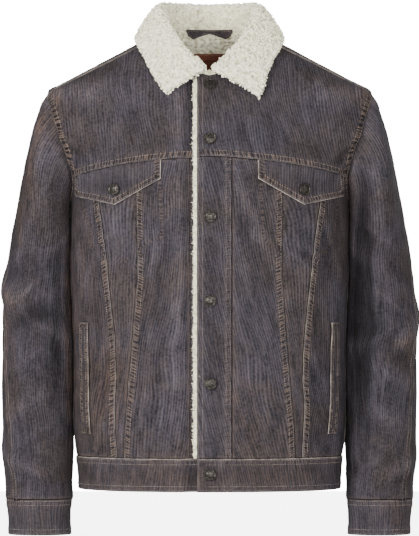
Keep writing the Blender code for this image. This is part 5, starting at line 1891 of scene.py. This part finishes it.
# %% Tufts
def strew_tufts(tree, given):
    strewn = place(tree, "GeometryNodeDistributePointsOnFaces",
                   {0: given["Geometry"], "Density": given["Density"], "Seed": given["Seed"]})
    lean = place(tree, "ShaderNodeCombineXYZ", {0: given["Lean"], 1: given["Lean"], 2: 3.1})[0]
    back = place(tree, "ShaderNodeVectorMath", {0: lean, 1: (-1, -1, -1)}, operation="MULTIPLY")[0]
    angles = place(tree, "FunctionNodeRandomValue", {0: back, 1: lean, "Seed": given["Seed"]},
                   data_type="FLOAT_VECTOR")[0]
    turn = place(tree, "FunctionNodeEulerToRotation", {0: angles})[0]
    turned = place(tree, "FunctionNodeRotateRotation", {0: strewn["Rotation"], 1: turn},
                   rotation_space="LOCAL")[0]
    size = place(tree, "FunctionNodeRandomValue", {2: 0.7, 3: 1.35, "Seed": given["Seed"]},
                 data_type="FLOAT")[1]
    tuft = scaled_ball(tree, given["Size"])
    return place(tree, "GeometryNodeInstanceOnPoints",
                 {0: strewn[0], "Instance": tuft, "Rotation": turned, "Scale": size})[0]


TUFT_SOCKETS = {"Density": FLOAT, "Size": VECTOR, "Lean": FLOAT, "Seed": INTEGER}
tuft_tree = placing_group("pile tufts", TUFT_SOCKETS, strew_tufts)
Tufts = namedtuple("Tufts", "node density size lean seed")
TUFTS = (                   # per square metre, half sizes in mm, and how far they lean in radians
    Tufts("collar_pile", 74000, (1.3, 1.1, 2.4), 0.8, 3),
    Tufts("front_edge_pile", 150000, (0.55, 0.5, 3.4), 1.1, 5),
    Tufts("front_neck_pile", 90000, (0.8, 0.7, 2.0), 0.9, 6),
)
made_tufts = []
for row in TUFTS:
    source = bpy.data.objects[row.node + "_cloth"].data.copy()
    made_tufts.append(made_by(tuft_tree, source, row.node + "_tufts", {
        "Density": row.density, "Size": [half * MM for half in row.size], "Lean": row.lean,
        "Seed": row.seed, "Material": tuft_cream}))
    print(made_tufts[-1].name, len(made_tufts[-1].data.polygons), "faces")

# %% [markdown]
# ## The floor, and what each piece stands for
#
# Every piece is hung on one root, and the solid that it stands for is hidden. The floor isn't
# part of the jacket.

# %% Floor
FLOOR_HEIGHT, FLOOR_END = -0.745, 1.36
FLOOR_GLOW = 6.0            # how white the camera sees it
floor_mesh = bpy.data.meshes.new("floor")
floor_corners = [(-6, -9), (6, -9), (6, FLOOR_END), (-6, FLOOR_END)]
floor_mesh.from_pydata([(x, y, FLOOR_HEIGHT) for x, y in floor_corners], [], [(0, 1, 2, 3)])
floor = new_object("floor", floor_mesh)


def floor_inputs(tree, _):
    to_camera = place(tree, "ShaderNodeLightPath")["Is Camera Ray"]
    return {"Base Color": (0.5, 0.5, 0.5, 1), "Roughness": 0.7, "Emission Color": (1, 1, 1, 1),
            "Emission Strength": to_camera * FLOOR_GLOW}


floor_mesh.materials.append(new_material("floor", floor_inputs))
floor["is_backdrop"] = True
print("floor at", FLOOR_HEIGHT, "m")

SLOTS = {cord.name: "cord", trim_cord.name: "cord_trim", pile.name: "pile", leather.name: "leather"}
ADDED = {"front_neck_pile"}     # it has no solid of its own
for sheet in made_cloth:
    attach(sheet.piece, "root")
    if sheet.node not in ADDED:
        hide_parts(sheet.node)
    SLOTS[sheet.piece.data.materials[0].name]
    sheet.width * MM
    sheet.area * MM * MM
for piece, node in made_buttons:
    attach(piece, "root")
    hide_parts(node)
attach(stitching, "root")
for piece in made_tufts:
    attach(piece, "root")
print("declared:", len(made_cloth), "sheets and", len(made_buttons), "buttons")

# %% The size at the end
new_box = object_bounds()
print("visual box", [round(v, 3) for v in (*new_box[0], *new_box[1])])
